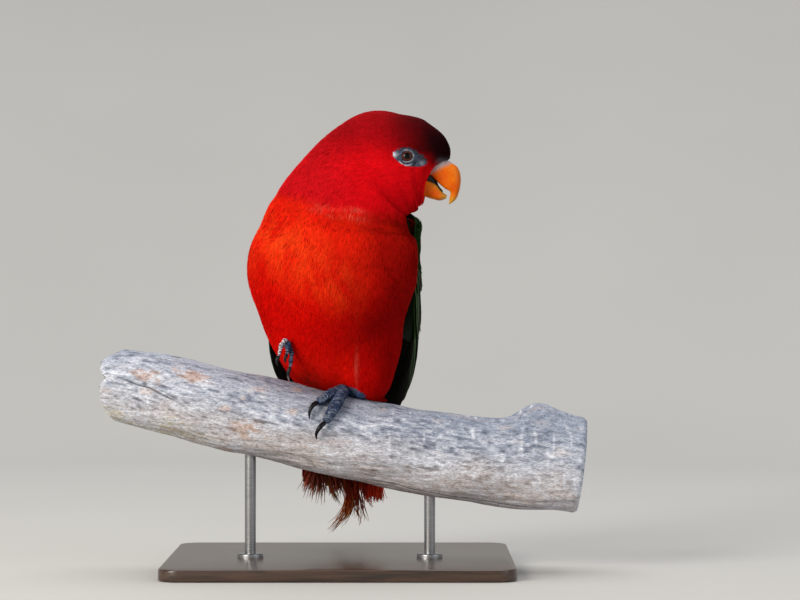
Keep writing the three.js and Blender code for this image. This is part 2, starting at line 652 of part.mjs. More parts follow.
function perchToe(stations, grow = 0) {
  const points = stations.map((q) => perchPoint(q.x, rad(q.turn), q.r + TOE_GAP));
  return limb(points, stations.map((q) => q.r), { grow });
}

function standingFoot(grow = 0) {
  const ankle = [...SHANK.onBark.map((q) => perchPoint(q.x, 0, q.lift)), ...SHANK.above];
  const toes = Object.values(TOES.left).map((toe) => perchToe(toe, grow));
  return joined([...toes, limb(ankle, SHANK.radii, { grow })]);
}

// A claw that leaves the end of a standing toe, arches over and comes down to the bark.
function perchClaw(toe) {
  const end = TOES.left[toe].at(-1);
  const swing = Math.sign(end.turn) * CLAW.swing;
  const points = [0, 0.3, 0.65, 1].map((f) => {
    const x = end.x + CLAW.slide[toe] * Math.sin(2.4 * f);
    const lift = TOE_GAP + lerp(end.r, CLAW.tip, f) + CLAW.arch * Math.sin(Math.PI * f ** 0.8);
    return perchPoint(x, rad(end.turn + swing * f), lift);
  });
  return limb(points, CLAW.radii, CLAW_MESH);
}

function tuckedFoot(grow = 0) {
  const toes = Object.values(TOES.right).map((toe) => limb(toe, TUCKED_TOE, { grow }));
  return joined([limb(PALM.points, PALM.radii, { grow }), ...toes]);
}

function tuckedClaw(toe) {
  const end = TOES.right[toe].at(-1);
  const points = [0, 0.35, 0.7, 1].map((f) => {
    const y = end.y - 1.6 * Math.sin(2.4 * f) + 1.5 * f;
    return { x: end.x - 1.2 * Math.sin(2.6 * f), y, z: end.z - CLAW.drop * f };
  });
  return limb(points, CLAW.radii, CLAW_MESH);
}

// Stand
function makeBase() {
  const { width, depth, height, corner, bevel } = BASE;
  const [hx, hy] = [width / 2 - bevel, depth / 2 - bevel];
  const outline = new THREE.Shape();
  outline.absarc(hx - corner, -hy + corner, corner, -Math.PI / 2, 0);
  outline.absarc(hx - corner, hy - corner, corner, 0, Math.PI / 2);
  outline.absarc(-hx + corner, hy - corner, corner, Math.PI / 2, Math.PI);
  outline.absarc(-hx + corner, -hy + corner, corner, Math.PI, 1.5 * Math.PI);
  const slab = new THREE.ExtrudeGeometry(outline, {
    depth: height - 2 * bevel, bevelSize: bevel, bevelThickness: bevel, bevelSegments: 1, curveSegments: 4,
  });
  return solidOf(slab.translate(0, BASE.middle, bevel));
}

function makeRod(x, perchGrown) {
  const top = perchAt(x).z;
  const bottom = BASE.height + GAP;
  const rod = new THREE.CylinderGeometry(ROD.radius, ROD.radius, top - bottom, 20);
  rod.rotateX(Math.PI / 2).translate(x, 0, (top + bottom) / 2);
  return solidOf(rod).subtract(perchGrown);
}

// Assembly
const lory = new THREE.Group();
const { red, crimson, green, tailRed, bill, eye, foot, clawBlack, bark, wood, metal } = COLOURS;

const bodyGrown = bodyForm(GAP);
const wingHollows = wingCore(1, GAP).add(wingCore(-1, GAP));
const neckOf = (grow) => (
  napeSide(bodyForm(grow, COLLAR.lip), -1, grow).intersect(collarTool(grow - GAP / 2)));
const perchGrown = makePerch(GAP);
const perchCleared = makePerch(PERCH.clear);
const thighsGrown = makeThigh(THIGH.left, GAP).add(makeThigh(THIGH.right, GAP));
const plumageGrown = bodyGrown.add(neckOf(GAP)).add(thighsGrown);

const torso = bodyForm().subtract(collarTool(GAP / 2)).subtract(perchCleared)
  .subtract(wingHollows).subtract(tailCore(GAP));
lory.add(meshOf('torso', torso, red));
lory.add(meshOf('neck', neckOf(0).subtract(wingHollows), crimson));
lory.add(meshOf('head', makeHead(wingHollows), crimson));
lory.add(meshOf('upper_bill', horn(UPPER_BILL), bill, 0.4));
lory.add(meshOf('lower_bill', horn(LOWER_BILL), bill, 0.4));
lory.add(meshOf('tail', makeTail(bodyGrown), tailRed));
for (const [name, side] of [['left', 1], ['right', -1]]) {
  const thigh = makeThigh(THIGH[name]).subtract(bodyGrown).subtract(perchCleared).subtract(wingHollows);
  lory.add(meshOf('eye_' + name, ball(eyePlace(side).centre, EYE.radius), eye, 0.1));
  lory.add(meshOf('wing_' + name, makeWing(side, plumageGrown), green));
  lory.add(meshOf('thigh_' + name, thigh, red));
}
lory.add(meshOf('foot_left', standingFoot().subtract(plumageGrown), foot, 0.6));
lory.add(meshOf('foot_right', tuckedFoot().subtract(plumageGrown), foot, 0.6));
for (const toe of Object.keys(TOES.left)) {
  const claw = perchClaw(toe).subtract(standingFoot(GAP)).subtract(perchGrown).subtract(bodyGrown);
  lory.add(meshOf('claw_left_' + toe, claw, clawBlack, 0.35));
}
for (const toe of Object.keys(TOES.right)) {
  const claw = tuckedClaw(toe).subtract(tuckedFoot(GAP)).subtract(plumageGrown);
  lory.add(meshOf('claw_right_' + toe, claw, clawBlack, 0.35));
}
lory.add(meshOf('perch', makePerch().subtract(perchNotch()), bark, 0.95));
lory.add(meshOf('stand_base', makeBase(), wood, 0.5));
lory.add(meshOf('stand_rod_left', makeRod(-ROD.spread, perchGrown), metal, 0.35, 1));
lory.add(meshOf('stand_rod_right', makeRod(ROD.spread, perchGrown), metal, 0.35, 1));

export default lory;
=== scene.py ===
"""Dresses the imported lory: skin, feathers, bill, eyes, feet, branch and display stand.

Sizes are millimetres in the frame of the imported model: +Z up, the breast faces -Y, the bird's left side
is +X and z = 0 is the underside of the base. Meshes are turned to metres when they are made.
"""
from __future__ import annotations

import logging
import math
from dataclasses import dataclass, field
from enum import Enum
from typing import Callable, Sequence

import bpy
import numpy as np
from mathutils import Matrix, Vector

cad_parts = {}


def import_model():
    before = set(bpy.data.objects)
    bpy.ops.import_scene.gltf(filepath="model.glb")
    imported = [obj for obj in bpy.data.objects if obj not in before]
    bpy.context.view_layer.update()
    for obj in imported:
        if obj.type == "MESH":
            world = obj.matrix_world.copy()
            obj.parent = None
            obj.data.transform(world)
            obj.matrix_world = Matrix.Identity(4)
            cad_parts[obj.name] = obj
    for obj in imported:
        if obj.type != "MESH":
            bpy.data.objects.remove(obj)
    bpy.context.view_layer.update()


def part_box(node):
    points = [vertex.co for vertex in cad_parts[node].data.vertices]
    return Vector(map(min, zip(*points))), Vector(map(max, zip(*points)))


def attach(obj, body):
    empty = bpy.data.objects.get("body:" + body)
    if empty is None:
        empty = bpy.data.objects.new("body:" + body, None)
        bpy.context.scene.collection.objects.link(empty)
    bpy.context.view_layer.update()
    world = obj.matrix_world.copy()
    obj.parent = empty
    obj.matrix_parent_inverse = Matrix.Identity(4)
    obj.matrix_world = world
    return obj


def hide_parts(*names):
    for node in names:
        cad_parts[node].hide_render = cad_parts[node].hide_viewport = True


log = logging.getLogger("lory")
Array = np.ndarray
Dice = np.random.Generator
Piece = bpy.types.Object
Material = bpy.types.Material
Hued = tuple[Piece, Array]  # a piece and a colour for each of its points
MM = 0.001
BODY = "root"


# Numbers, curves and noise

def srgb(value: str) -> Array:
    """Turns an sRGB hex value such as '#a0b1c2' to linear red, green and blue."""
    part = np.array([int(value[i:i + 2], 16) / 255 for i in (1, 3, 5)])
    return np.where(part <= 0.04045, part / 12.92, ((part + 0.055) / 1.055) ** 2.4)


def lerp(a: Array | float, b: Array | float, f: Array | float) -> Array | float:
    """Blends a to b by f."""
    return a + (b - a) * f


def mixed(a: Array, b: Array, f: Array) -> Array:
    """Blends rows of colours a to b by one share for each row."""
    return a + (b - a) * np.asarray(f)[..., None]


def smooth(value: Array, low: float, high: float) -> Array:
    """Smooth step from 0 at low to 1 at high."""
    t = np.clip((np.asarray(value, float) - low) / (high - low), 0, 1)
    return t * t * (3 - 2 * t)


def bump(value: Array, middle: float, width: float) -> Array:
    """Bell curve of height 1 at middle."""
    return np.exp(-(((np.asarray(value, float) - middle) / width) ** 2))


def around(degrees: Array | float) -> tuple[Array, Array]:
    """Cosine and sine of degrees."""
    return np.cos(np.radians(degrees)), np.sin(np.radians(degrees))


def unit(v: Array) -> Array:
    """Scales vectors in the last axis to length 1."""
    return v / np.maximum(np.linalg.norm(v, axis=-1, keepdims=True), 1e-9)


def spline(values: Array, at: Array) -> Array:
    """Smooth curve through equally spaced values.

    Args:
        values: one number or one vector for each station.
        at: real positions along the stations.

    Returns:
        The curve's values at those positions.
    """
    values = np.asarray(values, float)
    last = len(values) - 1
    i = np.clip(np.floor(at).astype(int), 0, last - 1)
    f = at - i
    if values.ndim > 1:
        f = f[..., None]
    a, b, c, d = (values[np.clip(i + k, 0, last)] for k in (-1, 0, 1, 2))
    return b + 0.5 * f * (c - a + f * (2 * a - 5 * b + 4 * c - d + f * (3 * (b - c) + d - a)))


def noise(points: Array, size: float, seed: int = 0) -> Array:
    """Smooth noise from -1 to 1 at points, with lumps about size millimetres across.

    Args:
        points: places in millimetres, one a row.
        size: millimetres of a lump.
        seed: which pattern it is.

    Returns:
        A value for each point.
    """
    q = np.asarray(points, float) / size + 37.7 * seed + 1000
    cell = np.floor(q).astype(np.int64)
    f = q - cell
    f = f * f * (3 - 2 * f)
    total = np.zeros(q.shape[:-1])
    for corner in np.ndindex(2, 2, 2):
        c = cell + np.array(corner)
        h = (c[..., 0] * 73856093) ^ (c[..., 1] * 19349663) ^ (c[..., 2] * 83492791)
        h = ((h ^ (h >> 13)) * 1274126177) & 0x7FFFFFFF
        h = (h ^ (h >> 15)) & 0xFFFF
        share = np.prod(np.where(np.array(corner) == 1, f, 1 - f), axis=-1)
        total += share * (h / 32767.5 - 1)
    return total


# Meshes and objects

@dataclass
class Shape:
    """A mesh being gathered: points, triangles, a colour a point, any number of UV maps and shading."""

    points: Array
    faces: Array
    colours: Array | None = None
    maps: dict[str, Array] = field(default_factory=dict)
    normals: Array | None = None

    def made(self, name: str) -> Piece:
        """Makes the Blender object, in metres, smooth shaded, at the origin.

        Args:
            name: the piece's name.

        Returns:
            The object.
        """
        mesh = bpy.data.meshes.new(name)
        faces = np.asarray(self.faces, np.int32)
        mesh.vertices.add(len(self.points))
        mesh.vertices.foreach_set("co", (np.asarray(self.points) * MM).astype(np.float32).ravel())
        mesh.loops.add(faces.size)
        mesh.loops.foreach_set("vertex_index", faces.ravel())
        mesh.polygons.add(len(faces))
        mesh.polygons.foreach_set("loop_start", np.arange(0, faces.size, faces.shape[1], dtype=np.int32))
        mesh.polygons.foreach_set("use_smooth", np.ones(len(faces), bool))
        if self.colours is not None:
            tinted(mesh, self.colours)
        for title, uv in self.maps.items():
            layer = mesh.uv_layers.new(name=title)
            layer.data.foreach_set("uv", uv[faces.ravel()].astype(np.float32).ravel())
        mesh.update(calc_edges=True)
        mesh.validate()
        if self.normals is not None:
            mesh.normals_split_custom_set_from_vertices(self.normals.astype(np.float32))
        piece = bpy.data.objects.new(name, mesh)
        bpy.context.scene.collection.objects.link(piece)
        return piece


def gathered(shapes: Sequence[Shape]) -> Shape:
    """Joins shapes that have the same maps into one.

    Args:
        shapes: what is joined.

    Returns:
        One shape.
    """
    starts = np.cumsum([0] + [len(s.points) for s in shapes[:-1]])
    faces = np.concatenate([s.faces + start for s, start in zip(shapes, starts)])
    maps = {k: np.concatenate([s.maps[k] for s in shapes]) for k in shapes[0].maps}
    tinted = shapes[0].colours is not None
    colours = np.concatenate([s.colours for s in shapes]) if tinted else None
    return Shape(np.concatenate([s.points for s in shapes]), faces, colours, maps)


def grid_faces(rows: int, columns: int, wrap: bool = False) -> Array:
    """Triangles of a grid of points, each row after the other, closed round where wrap is set.

    Args:
        rows: rows of the grid.
        columns: points in each.
        wrap: whether rows are closed.

    Returns:
        Three indices for each triangle.
    """
    i, j = np.meshgrid(np.arange(rows - 1), np.arange(columns if wrap else columns - 1), indexing="ij")
    k = (j + 1) % columns
    a, b, c, d = (x.ravel() for x in (i * columns + j, i * columns + k,
                                      (i + 1) * columns + k, (i + 1) * columns + j))
    return np.concatenate([np.stack([a, b, c], 1), np.stack([a, c, d], 1)])


def tube(points: Array) -> Shape:
    """Closed skin over rings of points.

    Args:
        points: rings by points round each ring by three; the end rings close on their middles.

    Returns:
        The closed shape, its faces outwards where the rings turn right-handed about their run, with a map
        of the share round and the millimetres along.
    """
    rings, sides = points.shape[:2]
    ends = [points[0].mean(0), points[-1].mean(0)]
    everything = np.concatenate([points.reshape(-1, 3), ends])
    first, last = rings * sides, rings * sides + 1
    j = np.arange(sides)
    k = (j + 1) % sides
    top = (rings - 1) * sides
    caps = [np.stack([k, j, np.full(sides, first)], 1), np.stack([top + j, top + k, np.full(sides, last)], 1)]
    run = np.cumsum([0, *np.linalg.norm(np.diff(points.mean(1), axis=0), axis=1)])
    uv = np.stack(np.broadcast_arrays(j[None, :] / sides, run[:, None]), -1).reshape(-1, 2)
    uv = np.concatenate([uv, [[0, run[0]], [0, run[-1]]]])
    return Shape(everything, np.concatenate([grid_faces(rings, sides, True), *caps]), None, {"Round": uv})


def nothing_selected() -> None:
    """Leaves edit mode and deselects every object."""
    if bpy.context.mode != "OBJECT":
        bpy.ops.object.mode_set(mode="OBJECT")
    bpy.ops.object.select_all(action="DESELECT")


def chosen(piece: Piece) -> None:
    """Makes one object the only one selected, and active.

    Args:
        piece: the object.
    """
    nothing_selected()
    piece.select_set(True)
    bpy.context.view_layer.objects.active = piece


def modified(piece: Piece, kind: str, **settings: object) -> None:
    """Adds one modifier with its settings and applies it.

    Args:
        piece: the object.
        kind: the modifier's type.
        **settings: the modifier's settings.
    """
    chosen(piece)
    added = piece.modifiers.new(kind.title(), kind)
    for key, value in settings.items():
        setattr(added, key, value)
    bpy.ops.object.modifier_apply(modifier=added.name)


def marked(piece: Piece, kind: str, test: Callable[[object], bool]) -> None:
    """Goes to edit mode with only some of a mesh selected.

    Args:
        piece: the piece, which is the active one.
        kind: EDGE or FACE.
        test: whether an edge or a face is to be selected.
    """
    bpy.ops.object.mode_set(mode="EDIT")
    bpy.ops.mesh.select_mode(type=kind)
    bpy.ops.mesh.select_all(action="DESELECT")
    bpy.ops.object.mode_set(mode="OBJECT")
    for part in piece.data.edges if kind == "EDGE" else piece.data.polygons:
        part.select = test(part)
    bpy.ops.object.mode_set(mode="EDIT")


def settled(piece: Piece, name: str) -> Piece:
    """Names a piece and puts its place into its mesh, so that its object is at the origin.

    Args:
        piece: the object.
        name: the piece's name.

    Returns:
        The same object.
    """
    chosen(piece)
    bpy.ops.object.transform_apply(location=True, rotation=True, scale=True)
    piece.name = piece.data.name = name
    return piece


def read(rows: bpy.types.bpy_prop_collection, key: str, width: int) -> Array:
    """One property of a mesh's points or faces as an array, a row for each.

    Args:
        rows: the points or faces.
        key: name of the property.
        width: numbers in each.

    Returns:
        The array.
    """
    flat = np.zeros(len(rows) * width, np.float32)
    rows.foreach_get(key, flat)
    return flat.reshape(-1, width)


def coordinates(piece: Piece) -> Array:
    """The mesh's points in millimetres."""
    return read(piece.data.vertices, "co", 3).astype(float) / MM


def reshaped(piece: Piece, points: Array) -> None:
    """Moves the mesh's points to these millimetres."""
    piece.data.vertices.foreach_set("co", (points * MM).astype(np.float32).ravel())
    piece.data.update()


def tinted(mesh: bpy.types.Mesh, colours: Array) -> None:
    """Gives a mesh a colour for each point.

    Args:
        mesh: the mesh.
        colours: linear red, green and blue of each point.
    """
    tint = mesh.color_attributes.new("Tint", "FLOAT_COLOR", "POINT")
    rgba = np.concatenate([colours, np.ones((len(colours), 1))], axis=1)
    tint.data.foreach_set("color", rgba.astype(np.float32).ravel())


def dressed(piece: Piece, material: Material, stands_for: Sequence[str] = (),
            hue: Array | None = None) -> Piece:
    """Gives a piece its finish, slot and ride on the body, and hides what it stands for.

    Args:
        piece: the finished mesh.
        material: its finish.
        stands_for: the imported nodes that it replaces.
        hue: a colour for each of its points, if it has none yet.

    Returns:
        The piece.
    """
    if hue is not None:
        tinted(piece.data, hue)
    piece.data.materials.clear()
    piece.data.materials.append(material)
    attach(piece, BODY)
    if stands_for:
        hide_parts(*stands_for)
    log.info("%s: %d points", piece.name, len(piece.data.vertices))
    return piece


# Materials

def node(tree: bpy.types.NodeTree, kind: str, settings: dict | None = None, values: dict | None = None,
         links: dict | None = None) -> bpy.types.Node:
    """Adds one shader node.

    Args:
        tree: the material's nodes.
        kind: the node's type name.
        settings: its own properties; "ramp" holds a colour ramp's positions and hex colours.
        values: constants for its inputs.
        links: sockets that feed its inputs.

    Returns:
        The node.
    """
    made = tree.nodes.new(kind)
    for key, value in (settings or {}).items():
        if key == "ramp":
            stops = made.color_ramp.elements
            while len(stops) < len(value):
                stops.new(0.5)
            for stop, (place, shade) in zip(stops, value):
                stop.position = place
                stop.color = (*srgb(shade), 1) if isinstance(shade, str) else (shade, shade, shade, 1)
        else:
            setattr(made, key, value)
    for socket, value in (values or {}).items():
        made.inputs[socket].default_value = value
    for socket, source in (links or {}).items():
        tree.links.new(source, made.inputs[socket])
    return made


@dataclass(frozen=True)
class Finish:
    """What every finish has: a name and the constants of its surface."""

    name: str = "finish"
    roughness: float = 0.6
    metallic: float = 0.0
    specular: float = 0.5
    coat: float = 0.0
    coat_roughness: float = 0.1
    subsurface: float = 0.0

    def surface(self) -> tuple[bpy.types.NodeTree, bpy.types.Node, Material]:
        """Starts the material with its shader and output.

        Returns:
            The nodes, the shader and the material.
        """
        material = bpy.data.materials.new(self.name)
        material.use_nodes = True
        tree = material.node_tree
        tree.nodes.clear()
        shader = node(tree, "ShaderNodeBsdfPrincipled", values={
            "Roughness": self.roughness, "Metallic": self.metallic, "Specular IOR Level": self.specular,
            "Coat Weight": self.coat, "Coat Roughness": self.coat_roughness,
            "Subsurface Weight": self.subsurface, "Subsurface Scale": 0.001,
        })
        node(tree, "ShaderNodeOutputMaterial", links={"Surface": shader.outputs["BSDF"]})
        return tree, shader, material


@dataclass(frozen=True)
class Grained(Finish):
    """A surface whose own tint, or two tones of it, is broken up by a fine pattern with some relief."""

    grain: tuple[float, float, float] = (0.5, 0.5, 0.5)  # millimetres of the pattern along X, Y and Z
    lean: float = 0.0  # degrees that the pattern is turned about Y
    texture: tuple[float, float, float] = (4.0, 0.5, 0.0)  # detail, roughness and distortion
    ends: tuple[float, float] = (0.25, 0.75)  # heights of the pattern that give the darkest and lightest
    levels: tuple[float, float] = (0.85, 1.15)  # brightness there
    tones: tuple[str, ...] = ()  # dark and light tone, where the piece has no tint of its own
    gloss: tuple[float, ...] = ()  # roughness at the pattern's lowest and highest, where it differs
    strength: float = 0.5
    relief: float = 0.0  # millimetres

    def pattern(self, tree: bpy.types.NodeTree) -> bpy.types.NodeSocket:
        """Noise on the piece's own coordinates, stretched to the grain.

        Args:
            tree: the material's nodes.

        Returns:
            The pattern's height.
        """
        detail, rough, distortion = self.texture
        stretch = node(tree, "ShaderNodeMapping", values={
            "Rotation": (0, math.radians(self.lean), 0), "Scale": tuple(1 / (g * MM) for g in self.grain)},
            links={"Vector": node(tree, "ShaderNodeTexCoord").outputs["Object"]})
        noisy = node(tree, "ShaderNodeTexNoise", values={
            "Scale": 1.0, "Detail": detail, "Roughness": rough, "Distortion": distortion},
            links={"Vector": stretch.outputs["Vector"]})
        return noisy.outputs["Fac"]

    def made(self) -> Material:
        """Joins the pattern to the colour, the gloss and the relief.

        Returns:
            The material.
        """
        tree, shader, material = self.surface()
        height = self.pattern(tree)
        if self.tones:
            colour = node(tree, "ShaderNodeValToRGB", {"ramp": tuple(zip(self.ends, self.tones))},
                          links={"Fac": height}).outputs["Color"]
        else:
            level = node(tree, "ShaderNodeMapRange", values={
                "From Min": self.ends[0], "From Max": self.ends[1],
                "To Min": self.levels[0], "To Max": self.levels[1]}, links={"Value": height})
            tint = node(tree, "ShaderNodeVertexColor", {"layer_name": "Tint"})
            colour = node(tree, "ShaderNodeVectorMath", {"operation": "SCALE"}, links={
                0: tint.outputs["Color"], "Scale": level.outputs["Result"]}).outputs["Vector"]
        tree.links.new(colour, shader.inputs["Base Color"])
        if self.gloss:
            gloss = node(tree, "ShaderNodeMapRange", values=dict(zip(("To Min", "To Max"), self.gloss)),
                         links={"Value": height})
            tree.links.new(gloss.outputs["Result"], shader.inputs["Roughness"])
        if self.relief:
            relief = node(tree, "ShaderNodeBump", values={
                "Strength": self.strength, "Distance": self.relief * MM}, links={"Height": height})
            tree.links.new(relief.outputs["Normal"], shader.inputs["Normal"])
        return material


@dataclass(frozen=True)
class Plumage(Grained):
    """Keratin barbs of a small feather: matt like felt, with faint streaks along the body."""

    grain: tuple[float, float, float] = (1.0, 1.0, 10.0)  # a barb's width and length, real ones 0.1 by 5
    texture: tuple[float, float, float] = (3.0, 0.5, 0.0)
    ends: tuple[float, float] = (0.0, 1.0)
    levels: tuple[float, float] = (0.93, 1.07)


@dataclass(frozen=True)
class Vane(Grained):
    """Web of a flight feather: a satin sheet, finely ribbed by barbs that leave the shaft at a slant."""

    ends: tuple[float, float] = (-0.6, 0.6)
    levels: tuple[float, float] = (0.68, 1.3)
    strength: float = 0.35
    relief: float = 0.12
    barb_pitch: float = 0.9  # real barbs are about 0.4 apart, drawn coarser so that they show
    slant: float = 0.55
    spots: float = 1.11  # size of what breaks up the ribs

    def pattern(self, tree: bpy.types.NodeTree) -> bpy.types.NodeSocket:
        """Slanting waves on the feather's own map, broken up by spots.

        Args:
            tree: the material's nodes.

        Returns:
            The waves' height.
        """
        where = node(tree, "ShaderNodeUVMap", {"uv_map": "Web"})
        apart = node(tree, "ShaderNodeSeparateXYZ", links={"Vector": where.outputs["UV"]})
        spots = node(tree, "ShaderNodeTexNoise", values={"Scale": 1 / (self.spots * MM), "Detail": 2.0},
                     links={"Vector": node(tree, "ShaderNodeTexCoord").outputs["Object"]})
        height = apart.outputs["X"]
        for step, values, links in (
                ("ABSOLUTE", {}, {}), ("MULTIPLY_ADD", {1: -1 / self.slant}, {2: apart.outputs["Y"]}),
                ("MULTIPLY", {1: math.tau / self.barb_pitch}, {}), ("SINE", {}, {}),
                ("MULTIPLY", {}, {1: spots.outputs["Fac"]})):
            height = node(tree, "ShaderNodeMath", {"operation": step}, values,
                          {0: height, **links}).outputs["Value"]
        return height


@dataclass(frozen=True)
class Tinted(Grained):
    """Bare skin or horn: its own tint, mottled and roughened by a grain as fine as its scales and pores."""

    relief: float = 0.08


# The bird's own surfaces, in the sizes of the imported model

@dataclass(frozen=True)
class Section:
    """A cross-section: its middle and how far it reaches to each side of that."""

    x: float
    y: float
    z: float
    out: float = 0.0
    inn: float = 0.0
    front: float = 0.0
    back: float = 0.0
    wide_out: float = 0.0
    wide_inn: float = 0.0


def column(stations: Sequence, *names: str) -> Array:
    """One field, or several as vectors, of a list of stations."""
    rows = [[getattr(s, name) for name in names] for s in stations]
    return np.array(rows, float)[:, 0] if len(names) == 1 else np.array(rows, float)


def section_frame(stations: Sequence, at: Array, yaw: Array | float) -> tuple[Array, Array, Array]:
    """Middle, side direction and back direction of the sections at real places along a list.

    Args:
        stations: sections from one end to the other.
        at: places along them.
        yaw: degrees that each section's back is turned from +Y towards +X.

    Returns:
        Three arrays of vectors.
    """
    line = column(stations, "x", "y", "z")
    last, step = len(line) - 1, 0.05
    ahead = spline(line, np.minimum(at + step, last))
    behind = spline(line, np.maximum(np.minimum(at, last) - step, 0))
    tangent = unit(ahead - behind)
    turn = np.radians(yaw) + 0 * at
    side = unit(np.cross(np.stack([np.sin(turn), np.cos(turn), 0 * turn], -1), tangent))
    return spline(line, at), side, np.cross(tangent, side)


@dataclass(frozen=True)
class Body:
    """Body, neck and head as one run of sections from the rump (0) to the forehead (15)."""

    sections: tuple[Section, ...] = (
        Section(0, 42, 91), Section(0, 35, 101, 17, 17, 12, 11),
        Section(-1, 25, 115, 28, 28, 24, 17, 2, 2), Section(-2, 14, 133, 35, 35, 34, 23, 4, 4.5),
        Section(-3.8, 6, 152, 38.5, 38.5, 40, 27, 7, 8), Section(-4.6, -1, 172, 39.5, 39.5, 42, 29, 12.5, 15),
        Section(-2.6, -5, 190, 39, 39.5, 39, 30, 9, 14), Section(-1, -6, 203, 37, 42, 34.5, 30, 4.5, 4.5),
        Section(4, -6, 217, 32.5, 39, 31.5, 29, 1.5), Section(13, -6, 230, 30, 36.5, 29, 27.5),
        Section(27, -6.5, 238, 30.5, 34, 26, 25.5), Section(40, -7.5, 241.5, 22.9, 31.5, 21.5, 21.5),
        Section(49, -8.3, 241.5, 18.2, 27.5, 17.5, 17.5), Section(54.5, -8.8, 240.8, 14, 16.5, 13.5, 13.5),
        Section(60.3, -9.3, 238.8, 7.7, 6, 7.5, 7.5), Section(64.2, -9.6, 236.9),
    )
    yaws: tuple[float, float] = (12.0, 5.0)  # degrees, of the breast and of the head
    yaw_turns: tuple[float, float] = (5.0, 11.0)

    def frame(self, at: Array) -> tuple[Array, Array, Array]:
        """Middle, side and back directions at places along the body."""
        return section_frame(self.sections, at, lerp(*self.yaws, smooth(at, *self.yaw_turns)))

    def place(self, at: Array, turn: Array, lift: Array | float = 0.0) -> Array:
        """Points on the plumage: turn 0 is the throat's side, 90 the back, 270 the breast, in degrees.

        Args:
            at: place along the form, in its own stations.
            turn: degrees round it.
            lift: millimetres over the surface.

        Returns:
            The points.
        """
        middle, side, back = self.frame(at)
        c, n = around(turn)
        reach = {k: np.maximum(0, spline(column(self.sections, k), at))
                 for k in ("out", "inn", "front", "back", "wide_out", "wide_inn")}
        wide = np.where(c > 0, reach["wide_inn"], reach["wide_out"]) * smooth(-n, -0.12, 0.3)
        sideways = np.where(c > 0, reach["inn"], reach["out"]) + wide + lift
        deep = np.where(n > 0, reach["back"], reach["front"]) + lift
        return middle + side * (sideways * c)[..., None] + back * (deep * n)[..., None]


@dataclass(frozen=True)
class PerchStation:
    """Height of the branch's middle and its radius at a distance along X."""

    x: float
    z: float
    r: float


@dataclass(frozen=True)
class Branch:
    """Course of the branch: a slow bow with a low knob near its thick end."""

    stations: tuple[PerchStation, ...] = (
        PerchStation(-137, 108.5, 20.2), PerchStation(-100, 101, 22.4), PerchStation(-60, 91.5, 23.3),
        PerchStation(0, 77.8, 23.5), PerchStation(45, 68.8, 24.2), PerchStation(90, 62.4, 25.6),
        PerchStation(125, 61.5, 27), PerchStation(150, 59, 27.5),
    )
    left: float = -137.0
    right: float = 140.0
    knob: tuple[float, float, float] = (114.0, 13.0, 7.8)  # place along X, width and height
    bark: float = 0.45  # height of the low waves in its surface

    def middle(self, x: Array) -> tuple[Array, Array]:
        """Height of the middle and radius at places along X."""
        at = np.interp(x, column(self.stations, "x"), np.arange(len(self.stations)))
        return spline(column(self.stations, "z"), at), spline(column(self.stations, "r"), at)

    def place(self, x: Array, turn: Array, lift: Array | float = 0.0) -> Array:
        """Points on the bark: turn 0 is the top and 90 the front, in degrees.

        Args:
            x: millimetres along the branch.
            turn: degrees round it.
            lift: millimetres over the surface.

        Returns:
            The points.
        """
        x, turn = np.broadcast_arrays(np.asarray(x, float), np.radians(np.asarray(turn, float)))
        z, r = self.middle(x)
        slope = (self.middle(x + 1)[0] - self.middle(x - 1)[0]) / 2
        up = unit(np.stack([-slope, 0 * x, np.ones_like(x)], -1))
        along, width, height = self.knob
        r = r + height * bump(x, along, width) * np.maximum(0, np.cos(turn)) ** 2 + lift
        r = r + self.bark * (np.sin(x * 0.11 + 3 * turn) + 0.6 * np.sin(x * 0.05 - 2 * turn + 1))
        here = np.stack([x, 0 * x, z], -1) + up * (r * np.cos(turn))[..., None]
        here[..., 1] -= r * np.sin(turn)
        return here

    def cleared(self, points: Array, gap: float) -> Array:
        """Moves points that are in the branch, or nearer to its bark than gap, out of it.

        Args:
            points: places in millimetres, one a row.
            gap: millimetres to keep.

        Returns:
            The moved points.
        """
        z, _ = self.middle(points[..., 0])
        turn = np.degrees(np.arctan2(-points[..., 1], points[..., 2] - z))
        bark = self.place(points[..., 0], turn, gap)
        inner = np.stack([points[..., 0], 0 * z, z], -1)
        near = np.linalg.norm(points - inner, axis=-1) < np.linalg.norm(bark - inner, axis=-1)
        return np.where(near[..., None], bark, points)


@dataclass(frozen=True)
class Limb:
    """A feathered thigh or a toe: a round form along a line of points."""

    line: Sequence[Sequence[float]]
    radii: Sequence[float]

    def place(self, v: Array, turn: Array, lift: Array | float = 0.0) -> Array:
        """Points at a share of its length and degrees of turn.

        Args:
            v: share of the way along.
            turn: degrees round it.
            lift: millimetres over the surface.

        Returns:
            The points.
        """
        line, last = np.array(self.line, float), len(self.line) - 1
        ahead, behind = (spline(line, np.clip(v + step, 0, 1) * last) for step in (0.01, -0.01))
        tangent = unit(ahead - behind)
        across = unit(np.cross(np.array([0.31, 0.2, 0.93]), tangent))
        over = np.cross(tangent, across)
        blunt = np.sqrt(np.maximum(0, 1 - np.abs(2 * v - 1) ** 12))
        r = blunt * spline(self.radii, v * (len(self.radii) - 1)) + lift
        c, n = around(turn)
        return spline(line, v * last) + across * (r * c)[..., None] + over * (r * n)[..., None]

    def away(self, points: Array) -> Array:
        """Millimetres from the form's surface to points.

        Args:
            points: places in millimetres, one a row.

        Returns:
            The distances.
        """
        v = np.linspace(0, 1, 24)
        line, radii = spline(self.line, v * (len(self.line) - 1)), spline(self.radii, v * (len(self.radii) - 1))
        return (np.linalg.norm(points[:, None] - line[None], axis=-1) - radii[None]).min(1)


